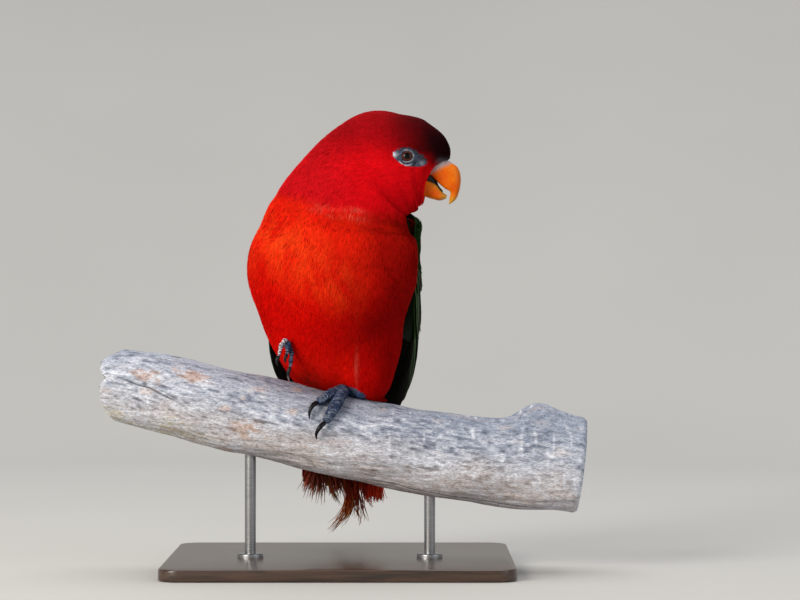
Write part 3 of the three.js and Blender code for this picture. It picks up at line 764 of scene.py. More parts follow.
THIGHS = {
    "left": Limb(((14, 7, 149), (18.5, -2, 132), (18, -4.5, 115), (17, 1, 103)), (8, 13, 14, 12.5, 8)),
    "right": Limb(((-17, 4, 146), (-21.5, -4, 135), (-23.5, -8.5, 125)), (8, 13.5, 13.5, 11, 6)),
}


@dataclass(frozen=True)
class MantleStation:
    """A station of the wings' axis, with the side and back reach of the folded wing."""

    x: float
    y: float
    z: float
    side: float
    back: float


@dataclass(frozen=True)
class WingForm:
    """Surface of a folded wing, by share of its length and degrees of turn from its front edge."""

    side: int = 1  # 1 is the bird's left
    stations: tuple[MantleStation, ...] = (
        MantleStation(1, -4, 207, 38.5, 31.5), MantleStation(0.8, 0, 178, 43.6, 31.5),
        MantleStation(0.8, 9, 148, 44.4, 29), MantleStation(0.8, 24, 119, 42, 22.5),
        MantleStation(0.8, 45, 88, 31, 13.5), MantleStation(0.8, 63, 57, 15, 8),
    )

    def place(self, s: Array, angle: Array, lift: Array | float = 0.0) -> Array:
        """Points on the wing, lift millimetres over its surface.

        Args:
            s: share of the wing's length.
            angle: degrees round the wing.
            lift: millimetres over the surface.

        Returns:
            The points.
        """
        at = np.clip(s, 0, 0.999) * (len(self.stations) - 1)
        middle, side, back = section_frame(self.stations, at, 12 * (1 - 0.6 * np.asarray(s)))
        c, n = around(angle)
        wide = -self.side * (spline(column(self.stations, "side"), at) + lift) * c
        deep = (spline(column(self.stations, "back"), at) + lift) * n
        return middle + side * wide[..., None] + back * deep[..., None]

    def top(self, angle: Array) -> Array:
        """Share of the length where the round edge of the shoulder's coverts is, by degrees of turn."""
        return 0.008 + 0.10 * smooth(angle, 30, 84) + 0.05 * smooth(-angle, -14, 10)

    def found(self, points: Array) -> tuple[Array, Array, Array]:
        """Share along the wing, turn and share of its reach of any points.

        Args:
            points: places in millimetres, one a row.

        Returns:
            The three values of each point.
        """
        s = np.linspace(0, 1, 160)
        at = np.clip(s, 0, 0.999) * (len(self.stations) - 1)
        middle, side, back = section_frame(self.stations, at, 12 * (1 - 0.6 * s))
        away = points[:, None, :] - middle[None]
        level = np.abs((away * np.cross(side, back)[None]).sum(-1))
        pick = level.argmin(1)
        away = away[np.arange(len(points)), pick]
        wide = -self.side * (away * side[pick]).sum(-1) / spline(column(self.stations, "side"), at)[pick]
        deep = (away * back[pick]).sum(-1) / spline(column(self.stations, "back"), at)[pick]
        return s[pick], np.degrees(np.arctan2(deep, wide)), np.hypot(wide, deep)


@dataclass(frozen=True)
class TailForm:
    """Plane of the tail: reach down it, distance across it and height over it."""

    root: tuple[float, float, float] = (0.6, 34.0, 102.0)
    slope: float = 54.0
    yaw: float = -1.0

    def place(self, reach: Array, across: Array, height: Array | float = 0.0) -> Array:
        """Points by millimetres down, across and over the tail.

        Args:
            reach: millimetres down the tail.
            across: millimetres across it.
            height: millimetres over it.

        Returns:
            The points.
        """
        turn, slope = math.radians(self.yaw), math.radians(self.slope)
        back = np.array([math.sin(turn), math.cos(turn), 0])
        down = back * math.cos(slope) - np.array([0, 0, math.sin(slope)])
        side = unit(np.cross(back, [0, 0, 1]))
        over = np.cross(side, down)
        reach, across, height = np.broadcast_arrays(*(np.asarray(v, float) for v in (reach, across, height)))
        return self.root + reach[..., None] * down + across[..., None] * side + height[..., None] * over


def evened(values: Array, reach: int, axis: int, wrap: bool) -> Array:
    """Moving mean of a grid's values over reach steps to each side along one axis.

    Args:
        values: the grid's values.
        reach: steps to each side.
        axis: 0 or 1.
        wrap: whether the grid closes on itself that way.

    Returns:
        The evened values.
    """
    if reach < 1:
        return values
    pad = [(0, 0)] * values.ndim
    pad[axis] = (reach + 1, reach)
    run = np.cumsum(np.pad(values, pad, mode="wrap" if wrap else "edge"), axis=axis)
    count = values.shape[axis]
    high = np.take(run, np.arange(count) + 2 * reach + 1, axis=axis)
    return (high - np.take(run, np.arange(count), axis=axis)) / (2 * reach + 1)


class Ground:
    """A surface kept as a fine grid, so that any number of places on it is quick to find."""

    def __init__(self, place: Callable[..., Array], a: tuple[float, float], b: tuple[float, float],
                 steps: tuple[int, int], wrap: bool = False, soft: int = 0) -> None:
        """Measures the surface.

        Args:
            place: gives points from two coordinates and a lift.
            a: range of the first coordinate.
            b: range of the second one.
            steps: grid points along each.
            wrap: whether the second coordinate closes on itself.
            soft: steps along the first coordinate that its directions are evened out over.
        """
        self.low = np.array([a[0], b[0]])
        self.step = np.array([(a[1] - a[0]) / (steps[0] - 1), (b[1] - b[0]) / (steps[1] - 1)])
        self.steps, self.wrap = steps, wrap
        aa, bb = np.meshgrid(np.linspace(*a, steps[0]), np.linspace(*b, steps[1]), indexing="ij")
        points = place(aa, bb)
        run_a = np.gradient(points, self.step[0], axis=0)
        run_b = np.gradient(points, self.step[1], axis=1)
        normal = unit(np.cross(run_a, run_b))
        normal = normal * np.sign(((place(aa, bb, 1.0) - points) * normal).sum(-1, keepdims=True))
        normal = unit(evened(evened(normal, soft, 0, False), soft // 2, 1, wrap))
        rate = np.stack([np.linalg.norm(run_a, axis=-1), np.linalg.norm(run_b, axis=-1)], -1)
        self.grid = np.concatenate([points, normal, np.maximum(rate, 1e-3)], -1)

    def sample(self, a: Array, b: Array) -> tuple[Array, Array, Array]:
        """Points, outward directions and millimetres for each unit of the coordinates.

        Args:
            a: first coordinate.
            b: second coordinate.

        Returns:
            The three values of each place.
        """
        if self.wrap:
            span = self.step[1] * (self.steps[1] - 1)
            b = (b - self.low[1]) % span + self.low[1]
        p = np.clip((a - self.low[0]) / self.step[0], 0, self.steps[0] - 1.001)
        q = np.clip((b - self.low[1]) / self.step[1], 0, self.steps[1] - 1.001)
        i, j = p.astype(int), q.astype(int)
        f, g = (p - i)[..., None], (q - j)[..., None]
        near = self.grid[i, j] * (1 - g) + self.grid[i, j + 1] * g
        far = self.grid[i + 1, j] * (1 - g) + self.grid[i + 1, j + 1] * g
        found = near * (1 - f) + far * f
        return found[..., :3], unit(found[..., 3:6]), found[..., 6:]

    def roots(self, pitch: float, a: tuple[float, float], jitter: float,
              rng: Dice) -> tuple[Array, Array]:
        """Staggered places for feathers.

        Args:
            pitch: millimetres between them.
            a: range of the first coordinate to fill.
            jitter: share of the pitch that each is moved by.
            rng: random source.

        Returns:
            Both coordinates of each place.
        """
        line = np.linspace(*a, 600)
        across = np.linspace(self.low[1], self.low[1] + self.step[1] * (self.steps[1] - 1), 240)
        mean_rate = self.sample(*np.meshgrid(line, across, indexing="ij"))[2][..., 0].mean(1)
        run = np.concatenate([[0], np.cumsum(np.diff(line) * mean_rate[:-1])])
        rows = np.interp(np.arange(0, run[-1], pitch * 0.87), run, line)
        found = []
        for n, row in enumerate(rows):
            rate = self.sample(np.full_like(across, row), across)[2]
            girth = np.concatenate([[0], np.cumsum(np.diff(across) * rate[:-1, 1])])
            count = max(3, round(girth[-1] / pitch))
            b = np.interp((np.arange(count) + 0.5 * (n % 2)) / count * girth[-1], girth, across)
            shift = rng.uniform(-jitter, jitter, (count, 2)) * pitch
            found.append(np.stack([row + shift[:, 0] / mean_rate[np.searchsorted(line, row) % 600],
                                   b + shift[:, 1] / np.interp(b, across, rate[:, 1])], 1))
        places = np.concatenate(found)
        return places[:, 0], places[:, 1]


# Small feathers

@dataclass(frozen=True)
class Feather:
    """A kind of small feather: a fan of soft barbs that lies along the body."""

    length: float
    width: float
    barbs: int = 7
    bends: tuple[float, ...] = (0.0, 0.4, 0.75)
    barb: float = 0.62  # width of a barb; real ones are about 0.1, drawn as fine as they can show
    sunk: float = 1.6
    proud: float = 0.3
    loose: float = 0.24  # height that barbs differ by at their tips
    ragged: float = 0.12  # share of its length that barbs differ by
    root_shade: float = 0.78
    barb_shade: float = 0.045
    feather_shade: float = 0.03
    own: float = 0.35  # share of a barb's own roundness in its shading; the rest is the body's, as in soft down


def fanned(ground: Ground, a: Array, b: Array, kind: Feather, tint: Callable[[Array], Array],
           rng: Dice, size: Array | float = 1.0, lie: Array | float = 0.0,
           lift: Array | float = 0.0, unwrap: tuple[float, float] = (1.0, 1.0)) -> Shape:
    """Makes many small feathers as one shape.

    Args:
        ground: the surface that they grow on.
        a: first coordinate of each root; the feathers point towards lower values.
        b: second coordinate.
        kind: what each is like.
        tint: gives colours from points.
        rng: random source.
        size: scale of each feather.
        lie: degrees that each is turned from the run of the surface.
        lift: millimetres that each tip stands higher.
        unwrap: range of the two coordinates, for the map that the colours are baked by.

    Returns:
        The shape, with a tint a point.
    """
    count, barbs, bends = len(a), kind.barbs, np.array([*kind.bends, 1.0])
    one = np.ones(count)
    size, lie, lift = size * one, np.radians(lie * one), lift * one
    u = np.linspace(-1, 1, barbs)[None] + rng.uniform(-0.5, 0.5, (count, barbs)) / barbs
    reach = kind.length * size[:, None] * (1 - 0.32 * u ** 2) * (1 + rng.uniform(-1, 1, u.shape) * kind.ragged)
    t = bends[None, None]
    y = reach[..., None] * t
    sway = rng.uniform(-0.6, 0.6, u.shape)[..., None] * t ** 2
    x = kind.width / 2 * size[:, None, None] * (u[..., None] * (0.18 + 0.82 * t ** 0.8) + 0.3 * sway)
    rate = ground.sample(a, b)[2][:, None, None]
    c, n = np.cos(lie)[:, None, None], np.sin(lie)[:, None, None]
    fit = np.ones((count, barbs, 1))
    for _ in range(3):  # the run of a narrowing surface would stretch a barb, so it is drawn back to its length
        point, normal, _ = ground.sample(a[:, None, None] - (y * c - x * n) * fit / rate[..., 0],
                                         b[:, None, None] + (y * n + x * c) * fit / rate[..., 1])
        run = np.linalg.norm(np.diff(point, axis=2), axis=-1).sum(2)
        fit = fit * np.minimum(1, 1.25 * reach / run)[..., None]
    tips = (kind.proud + lift)[:, None] + rng.uniform(-1, 1, u.shape) * kind.loose
    height = lerp(-kind.sunk, tips[..., None], t ** 0.7) - 0.25 * kind.proud * t ** 4
    point = point + normal * height[..., None]
    ahead = unit(np.gradient(point, axis=2))
    across = np.cross(normal, ahead)
    slim = np.array([0.8, *(1.0 - 0.25 * bends[1:-1])])
    half = kind.barb / 2 * np.sqrt(size)[:, None, None] * slim[None, None] * np.ones(u.shape)[..., None]
    rings, middle = len(kind.bends), point[:, :, :-1]
    flat, ridge = (across[:, :, :-1] * half[..., None]), normal[:, :, :-1] * (0.5 * half)[..., None]
    ring = np.stack([middle - flat, middle + flat, middle + ridge], 3)
    lean = kind.own * across[:, :, :-1]
    facing = np.stack([normal[:, :, :-1] - lean, normal[:, :, :-1] + lean, normal[:, :, :-1]], 3)
    facing = np.concatenate([facing.reshape(count, barbs, rings * 3, 3), normal[:, :, -1:]], 2)
    per = rings * 3 + 1
    points = np.concatenate([ring.reshape(count, barbs, rings * 3, 3), point[:, :, -1:]], 2)
    faces = [[0, 2, 1]]
    for r in range(rings - 1):
        for j in range(3):
            k = (j + 1) % 3
            p, q = 3 * r, 3 * r + 3
            faces += [[p + j, p + k, q + k], [p + j, q + k, q + j]]
    last = 3 * (rings - 1)
    faces += [[last + j, last + (j + 1) % 3, per - 1] for j in range(3)]
    starts = np.arange(count * barbs) * per
    faces = (starts[:, None, None] + np.array(faces)[None]).reshape(-1, 3)
    share = np.concatenate([np.repeat(bends[:-1], 3), [1.0]])
    shade = lerp(kind.root_shade, 1.0, smooth(share, 0.0, 0.75))[None, None]
    shade = shade * (1 + rng.normal(0, kind.feather_shade, (count, 1, 1)))
    shade = shade * (1 + rng.normal(0, kind.barb_shade, (count, barbs, 1)))
    flat_points = points.reshape(-1, 3)
    colours = tint(flat_points) * np.clip(shade, 0.1, 1.6).reshape(-1, 1)
    root = np.stack([np.clip(a / unwrap[0], 0.01, 0.99), (b / unwrap[1]) % 1.0], -1)
    local = np.stack([np.broadcast_to(u[..., None] * 0.5, (count, barbs, per)),
                      np.broadcast_to(share[None, None], (count, barbs, per))], -1) * 0.003
    bake = (root[:, None, None] + local).reshape(-1, 2)
    return Shape(flat_points, faces, np.clip(colours, 0, 1), {"OFBake": bake}, unit(facing).reshape(-1, 3))


# Body, neck, head and thighs

@dataclass(frozen=True)
class Markings:
    """Colours of the body's plumage by place, with painted shade and painted light mixed in, the same for the skin
    and for the feathers.
    """

    belly: str = "#e00902"
    breast: str = "#ea1a08"
    streak: str = "#fb5018"
    # lit and shaded: colours of painted light and painted shade
    lit: str = "#ff1608"
    shaded: str = "#8c0403"
    crimson: str = "#ee0a14"
    nape: str = "#cc0f17"
    crown: str = "#a0070f"
    maroon: str = "#560408"
    brow: str = "#220508"
    # down: pale down at the neck's fringe, also painted highlight there and along the belly's crease
    down: str = "#dc9078"
    mantle: str = "#e8b422"
    lores: str = "#7c7676"
    # fringe: painted shadow where the low belly rests on the perch
    fringe: str = "#33200e"
    collar: tuple[float, float, float] = (37.0, 421.0, 216.0)  # the fringe's arc: x, z and radius

    def above_fringe(self, points: Array) -> Array:
        """Millimetres above the soft fringe of the neck's plumage over the breast.

        Args:
            points: places in millimetres, one a row.

        Returns:
            The distances.
        """
        x, z, radius = self.collar
        low = radius - np.hypot(points[..., 0] - x, points[..., 2] - z) + 1.6 * noise(points, 6, 5)
        return low + 9.0 * smooth(points[..., 1], 6, 20)

    def tint(self, points: Array) -> Array:
        """Colours at points.

        Args:
            points: places in millimetres, one a row.

        Returns:
            Linear red, green and blue.
        """
        x, y, z = (points[..., i] for i in range(3))
        hue = {k: srgb(v) for k, v in vars(self).items() if isinstance(v, str)}
        leant = np.stack([x + 0.9 * z, y, 0.35 * (z - 0.9 * x)], -1)
        fine, mid, broad = noise(leant, 1.5, 1), noise(leant, 4.5, 3), noise(points, 12, 2)
        front = smooth(-y, -12, 4)
        colour = mixed(hue["belly"], hue["breast"], smooth(z + 8 * broad + 0.25 * x, 142, 184) * front)
        band = bump((z - 168 + 0.5 * x) / 1.118, 0, 15) * (1 - smooth(x, 0, 26)) * front
        spots = np.clip(0.25 + 0.5 * mid + 0.3 * fine, 0, 1)
        colour = mixed(colour, hue["streak"], np.clip(band + 0.15 * front * smooth(z, 165, 195), 0, 1) * spots)
        # Painted shade: the bird's left flank and thigh, away from the key light, turn towards the shaded red; the
        # mask also darkens the back and random broad patches. Painted light: a pool of brighter red on the low belly
        # over the perch, where real shadow falls.
        side = smooth((x + 6 * broad - lerp(-22, -6, smooth(z, 140, 180))) / 54, 0, 1)
        dark = lerp(0.66, 0.8, smooth(z, 130, 165)) * side
        dark = dark + 0.3 * smooth(y, 5, 25) + 0.15 * np.clip(broad, 0, 1)
        painted_light = bump(z, 112, 13) * (1 - smooth(x, 0, 14)) * front
        colour = mixed(colour, hue["shaded"], np.clip(dark * (1 - painted_light), 0, 1))
        colour = mixed(colour, hue["lit"], painted_light)
        over = self.above_fringe(points)
        # Pale strip just under the neck's fringe: down at the feathers' bases, with painted highlight along it
        pale = bump(over, -2.2, 0.8) * smooth(x, -20, -8) * (1 - smooth(x, 12, 20)) * front
        colour = mixed(colour, hue["down"], 0.5 * pale * np.clip(0.8 + fine, 0, 1))
        # Painted highlight: a pale line along the crease between the belly and the left thigh
        crease = bump(x - 0.06 * (z - 120) + mid, 10.2, 0.9) * bump(z, 117, 8) * front
        colour = mixed(colour, hue["down"], 0.22 * crease)
        # Painted shadow: a dark brown patch on the low right belly, where it rests on the perch
        low = bump(np.hypot((x + 19) / 9, (z - 106) / 8), 0, 1.0) * front
        colour = mixed(colour, hue["fringe"], np.clip(low * (0.6 + fine), 0, 0.9))
        yellow = bump(np.hypot((x - 1) / 15, (z - 192) / 12) + 0.2 * mid, 0, 0.75) * smooth(y, 8, 18)
        colour = mixed(colour, hue["mantle"], 0.85 * yellow)
        head = mixed(hue["nape"], hue["crimson"], smooth(x + 4 * broad, -14, 18))
        head = mixed(head, hue["crown"], smooth(z + 4 * broad + 2 * mid, 230, 256))
        top = smooth(z - 0.10 * (x - 40) + mid, 232, 242)
        head = mixed(head, hue["maroon"], smooth(x + 3 * broad + mid, 20, 46) * top)
        brow = smooth(x + 0.15 * (z - 243) + 2 * broad + mid, 43.5, 56) * smooth(z + 0.8 * mid, 232, 237)
        brow = brow * (1 - 0.45 * smooth(z, 248, 258))
        head = mixed(head, hue["brow"], brow)
        head = mixed(head, hue["lores"], 0.55 * smooth(x, 54, 58) * bump(z + mid, 236, 1.6))
        colour = mixed(colour, head, smooth(over, -3.0, 2.0))
        return colour * (1 + 0.07 * mid + 0.05 * fine)[..., None]


@dataclass
class Coat:
    """The bird's skin and its small feathers."""

    body: Body
    branch: Branch
    wings: tuple[WingForm, ...]
    marks: Markings
    torso_feather: Feather = Feather(13.5, 6.6, bends=(0.0, 0.5), barb=0.7, loose=0.17, root_shade=0.94,
                                     barb_shade=0.035, own=0.22)
    neck_feather: Feather = Feather(9.0, 4.6, 6, (0.0, 0.5), barb=0.56, sunk=1.3, proud=0.2, loose=0.2,
                                    barb_shade=0.07, own=0.45)
    head_feather: Feather = Feather(4.6, 2.6, 5, (0.0, 0.55), 0.46, 0.8, 0.15, 0.14, 0.15,
                                    barb_shade=0.08, own=0.5)
    torso_pitch: float = 2.2
    neck_pitch: float = 1.75
    head_pitch: float = 1.32
    blend: float = 9.0  # width of the soft valley between the belly and a thigh
    wing_depth: float = 34.0  # mean reach of the wings from their axis
    eye_patch: tuple[float, float, float, float, float] = (40.6, 237.7, 9.3, 5.2, -13.0)
    # Where the face's feathers end at the bill: x by height, from the chin to the forehead
    face_edge: tuple[tuple[float, float], ...] = (
        (208.0, 48.0), (213.8, 50.0), (220.9, 49.8), (224.9, 50.3), (227.6, 51.9), (231.1, 53.1), (234.0, 56.7),
        (235.5, 63.5), (237.0, 70.0),
    )

    def trimmed(self, at: Array, turn: Array) -> Array:
        """How far the plumage lies under the plain form: the flank, the forehead and the collar's crease.

        Args:
            at: place along the form, in its own stations.
            turn: degrees round it.

        Returns:
            Millimetres.
        """
        c = np.cos(np.radians(turn))
        outer = np.maximum(0, -c) * (2.0 * bump(at, 4.9, 1.7) + 1.2 * bump(at, 10.1, 0.9) + 1.1 * bump(at, 12.3, 1.5)
                                     - 0.6 * bump(at, 12.0, 0.45))
        return outer - (2.2 * bump(at, 11.0, 0.9) + 2.6 * bump(at, 12.1, 0.45)) * np.maximum(0, c) ** 2

    def place(self, at: Array, turn: Array, lift: Array | float = 0.0) -> Array:
        """Points on the plumage, swollen softly over the thighs.

        Args:
            at: place along the form, in its own stations.
            turn: degrees round it.
            lift: millimetres over the surface.

        Returns:
            The points.
        """
        points = self.body.place(at, turn, -self.trimmed(at, turn))
        away = unit(points - self.body.frame(at)[0])
        grown = np.zeros(points.shape[:-1])
        flat = points.reshape(-1, 3)
        low = (flat[:, 2] > 88) & (flat[:, 2] < 168) & (flat[:, 1] < 40)
        moved, ray, step = flat[low], away.reshape(-1, 3)[low], np.zeros(low.sum())
        for _ in range(10):
            here, depth = moved + ray * step[:, None], step.copy()
            for thigh in THIGHS.values():
                reach = thigh.away(here)
                near = np.maximum(self.blend - np.abs(depth - reach), 0) / self.blend
                depth = np.minimum(depth, reach) - near ** 2 * self.blend / 4
            step = step - 0.8 * depth
        grown.reshape(-1)[low] = step
        grown -= 0.9 * bump(self.marks.above_fringe(points), -2.0, 4.0) * (at < 9.5)
        return points + away * (grown + lift)[..., None]

    def ground(self) -> Ground:
        """The body's plumage as a grid, clear of the branch."""
        place = lambda at, turn, lift=0.0: self.branch.cleared(self.place(at, turn, lift), 1.0)
        return Ground(place, (0.02, 14.98), (0, 360), (640, 361), wrap=True, soft=20)

    def bare(self, points: Array) -> Array:
        """How far points are from the middle of the bare skin round the eye; 1 is its edge.

        Args:
            points: places in millimetres, one a row.

        Returns:
            The distances.
        """
        x, z, long, high, tilt = self.eye_patch
        c, n = math.cos(math.radians(tilt)), math.sin(math.radians(tilt))
        along = (points[..., 0] - x) * c + (points[..., 2] - z) * n
        over = (points[..., 2] - z) * c - (points[..., 0] - x) * n
        return np.abs(along / long) ** 1.35 + np.abs(over / high) ** 1.9

    def beyond_face(self, points: Array) -> Array:
        """Millimetres that points are past the edge of the face's feathers, towards the bill."""
        heights, edge = np.array(self.face_edge).T
        return points[..., 0] - np.interp(points[..., 2], heights, edge)

    def under_wing(self, points: Array) -> Array:
        """Whether points are covered by a wing.

        Args:
            points: places in millimetres, one a row.

        Returns:
            True or false for each.
        """
        covered = np.zeros(len(points), bool)
        for wing in self.wings:
            s, angle, reach = wing.found(points)
            covered |= (s > wing.top(angle) + 0.05) & (s < 0.72) & (angle > 6) & (angle < 74) & (reach < 1.06)
        return covered

    def over_shoulder(self, points: Array) -> Array:
        """How far feathers rooted at points rise to lie over the top of a wing.

        Args:
            points: places in millimetres, one a row.

        Returns:
            Millimetres.
        """
        rise = np.zeros(len(points))
        for wing in self.wings:
            s, angle, reach = wing.found(points)
            top = (s < wing.top(angle) + 0.07) & (angle > 8) & (angle < 84) & (points[:, 2] < 216)
            rise = np.where(top, np.clip((1.05 - reach) * self.wing_depth, 0, 7), rise)
        return rise

    def skin(self) -> Piece:
        """One closed skin over the body, the head and both thighs, under the feathers.

        Returns:
            The piece, tinted like the feathers.
        """
        at, turn = np.meshgrid(np.linspace(0.02, 14.98, 260), np.linspace(0, 360, 181)[:-1], indexing="ij")
        outer = self.branch.cleared(self.place(at, turn), 2.4)
        middle = self.body.frame(at)[0]
        depth = lerp(lerp(1.6, 1.1, smooth(at, 6.6, 8.6)), 0.75, smooth(at, 8.8, 10.5))
        reach = np.linalg.norm(outer - middle, axis=-1)
        piece = tube(middle + (outer - middle) * np.maximum(0.05, 1 - depth / reach)[..., None]).made("skin")
        modified(piece, "REMESH", mode="VOXEL", voxel_size=1.3 * MM, use_smooth_shade=True)
        modified(piece, "SMOOTH", factor=0.5, iterations=3)
        points = coordinates(piece)
        # The skin is a tenth darker than the feathers over it: painted shade in the gaps between them
        colours = self.marks.tint(points) * 0.9
        blue = srgb("#5d6879")
        tinted(piece.data, mixed(colours, blue, 1 - smooth(self.bare(points), 0.9, 1.3)))
        return piece

    def sown(self, ground: Ground, parts: dict[str, Array], kind: Feather, rng: Dice,
             each: tuple[Array, ...]) -> dict[str, Shape]:
        """Makes the feathers of some pieces.

        Args:
            ground: the surface that they grow on.
            parts: for each piece's name, which of the feathers are in it.
            kind: what each feather is like.
            rng: random source.
            each: both coordinates, size, lie and lift of all feathers.

        Returns:
            The shapes by name.
        """
        shapes = {}
        for name, part in parts.items():
            a, b, size, lie, lift = (values[part] for values in each)
            shapes[name] = fanned(ground, a, b, kind, self.marks.tint, rng, size, lie, lift, (15, 360))
        return shapes

    def torso(self, ground: Ground, rng: Dice) -> dict[str, Shape]:
        """Feathers of the breast, belly, flanks, thighs and back.

        Args:
            ground: the surface that the feathers grow on.
            rng: random source.

        Returns:
            The shapes by name.
        """
        a, b = ground.roots(self.torso_pitch, (0.3, 9.7), 0.3, rng)
        point, _, _ = ground.sample(a, b)
        over = self.marks.above_fringe(point)
        x, y, z = point.T
        on_foot = (x > 0) & (x < 17) & (z < 113) & (y < 2)
        keep = (over < 5) & ~self.under_wing(point) & ~on_foot
        a, b, over = a[keep], b[keep], over[keep]
        lift = self.over_shoulder(point[keep])
        size = lerp(0.72, 1.0, smooth(a, 0.6, 3.0)) * lerp(1.0, 0.8, smooth(a, 6.0, 7.6))
        size = size * (1 + rng.normal(0, 0.06, len(a)))
        lie = rng.normal(0, 7, len(a))
        parts = {"belly_feathers": (b > 180) & (a < 4.2), "breast_feathers": (b > 180) & (a >= 4.2),
                 "back_feathers": b <= 180}
        return self.sown(ground, parts, self.torso_feather, rng, (a, b, size, lie, lift))

    def neck(self, ground: Ground, rng: Dice) -> dict[str, Shape]:
        """Longer feathers of the neck, which end in a fringe over the breast.

        Args:
            ground: the surface that the feathers grow on.
            rng: random source.

        Returns:
            The shapes by name.
        """
        a, b = ground.roots(self.neck_pitch, (6.4, 10.2), 0.3, rng)
        point, _, _ = ground.sample(a, b)
        over = self.marks.above_fringe(point)
        keep = (over > 2.0 + rng.normal(0, 1.6, len(a))) & (self.bare(point) > 1.2)
        a, b, behind = a[keep], b[keep], smooth(point[keep][:, 1], 8, 20)
        lift = np.maximum(2.4 * (1 - smooth(over[keep], 1, 10)) * behind, self.over_shoulder(point[keep]))
        size = lerp(1.0, 0.62, smooth(a, 8.4, 10.2)) * (1 + rng.normal(0, 0.06, len(a)))
        lie = rng.normal(0, 7, len(a))
        parts = {"neck_feathers_front": b > 180, "neck_feathers_back": b <= 180}
        return self.sown(ground, parts, self.neck_feather, rng, (a, b, size, lie, lift))

    def head(self, ground: Ground, rng: Dice) -> dict[str, Shape]:
        """Short feathers of the head, smallest round the eyes and at the bill.

        Args:
            ground: the surface that the feathers grow on.
            rng: random source.

        Returns:
            The shapes by name.
        """
        a, b = ground.roots(self.head_pitch, (9.6, 14.8), 0.3, rng)
        point, _, _ = ground.sample(a, b)
        bare, past = self.bare(point), self.beyond_face(point)
        keep = (bare > 1.0 + 0.35 * smooth(point[:, 0], 44, 49)) & (past < -0.4)
        a, b, bare, past = a[keep], b[keep], bare[keep], past[keep]
        size = lerp(0.5, 1.0, smooth(-past, 0, 9)) * lerp(0.55, 1.0, smooth(bare, 1.0, 3.0))
        size = size * lerp(1.15, 1.0, smooth(a, 9.6, 11)) * (1 + rng.normal(0, 0.07, len(a)))
        lie = rng.normal(0, 8, len(a))
        parts = {"head_feathers_front": b > 180, "head_feathers_back": b <= 180}
        return self.sown(ground, parts, self.head_feather, rng, (a, b, size, lie, 0 * a))

    def build(self, finish: Material, skin_finish: Material) -> Piece:
        """Builds every feathered piece and returns the skin.

        Args:
            finish: the feathers' finish.
            skin_finish: the skin's finish.

        Returns:
            The skin.
        """
        skin = dressed(self.skin(), skin_finish,
                       ("torso", "neck", "head", "thigh_left", "thigh_right"))
        ground = self.ground()
        for n, part in enumerate((self.torso, self.neck, self.head)):
            for name, shape in part(ground, np.random.default_rng(11 + n)).items():
                dressed(shape.made(name), finish)
        return skin


# Wings and tail

@dataclass(frozen=True)
class Web:
    """The flat web of a flight feather, as a closed sheet either side of its shaft."""

    rows: int = 24
    columns: int = 10
    thick: float = 0.24
    ridge: float = 0.32  # height of the shaft
    dish: float = 0.5  # how far its edges hang below the shaft
    worn: float = 0.08  # depth of the nicks in its edge, a share of its half width
    root: float = 0.4
    full: float = 0.35
    round: float = 0.74
    blunt: float = 0.10

    def half(self, u: Array) -> Array:
        """Share of the full half width along a feather."""
        tip = np.sqrt(1 - np.clip((u - self.round) / (1.004 - self.round), 0, 1) ** 2)
        return lerp(self.root, 1.0, smooth(u, 0, self.full)) * np.maximum(tip, self.blunt * (1 - u) + 0.02)

    def made(self, place: Callable[[Array, Array, Array], Array], length: float, half_width: float,
             tint: Callable[[Array, Array, bool], Array], cell: tuple[int, int], cells: int,
             rng: Dice) -> Shape:
        """Makes one feather.

        Args:
            place: gives points from shares of the length, millimetres across and millimetres over.
            length: in millimetres, for the map.
            half_width: at its widest.
            tint: gives colours from share along, share across and whether this is the upper face.
            cell: column and row of its cell in the map that colours are baked by.
            cells: columns and rows of that map.
            rng: random source.

        Returns:
            The closed shape.
        """
        u, w = np.meshgrid(1 - (1 - np.linspace(0, 1, self.rows)) ** 1.35, np.linspace(-1, 1, self.columns),
                           indexing="ij")
        seed = int(rng.integers(1, 900))
        edge = noise(np.stack([u * length, w * 3, 0 * u], -1), 2.4, seed) * self.worn * np.abs(w) ** 2
        across = w * half_width * self.half(u) * (1 - 0.5 * self.worn + edge)
        wave = 0.35 * noise(np.stack([u * length, w * half_width, 0 * u], -1), 13, seed + 1)
        level = wave - self.dish * (np.abs(w) ** 1.6) * self.half(u)
        level = level + self.ridge * np.exp(-((w * half_width / 0.55) ** 2)) * (1 - 0.75 * u)
        points, colours, web, bake = [], [], [], []
        for upper in (True, False):
            lift = level + (self.thick / 2 if upper else -self.thick / 2) * (1 - 0.6 * np.abs(w))
            points.append(place(u, across, lift).reshape(-1, 3))
            colours.append(tint(u, w, upper).reshape(-1, 3))
            web.append(np.stack([across, u * length], -1).reshape(-1, 2))
            square = np.stack([(w + 1) / 2, u * 0.48 + (0.51 if upper else 0.01)], -1) * 0.9 + 0.05
            bake.append(((np.array(cell) + square) / cells).reshape(-1, 2))
        sheet = self.rows * self.columns
        top = grid_faces(self.rows, self.columns)
        i = np.arange(self.rows - 1) * self.columns
        j = np.arange(self.columns - 1)
        last = (self.rows - 1) * self.columns
        loops = [(i, i + self.columns), (i + 2 * self.columns - 1, i + self.columns - 1),
                 (j + 1, j), (last + j, last + j + 1)]
        rims = []
        for p, q in loops:
            rims += [np.stack([p, q, q + sheet], 1), np.stack([p, q + sheet, p + sheet], 1)]
        faces = np.concatenate([top[:, ::-1], top + sheet, *rims])
        made = Shape(np.concatenate(points), faces, np.concatenate(colours),
                     {"Web": np.concatenate(web), "OFBake": np.concatenate(bake)})
        return outward(made)


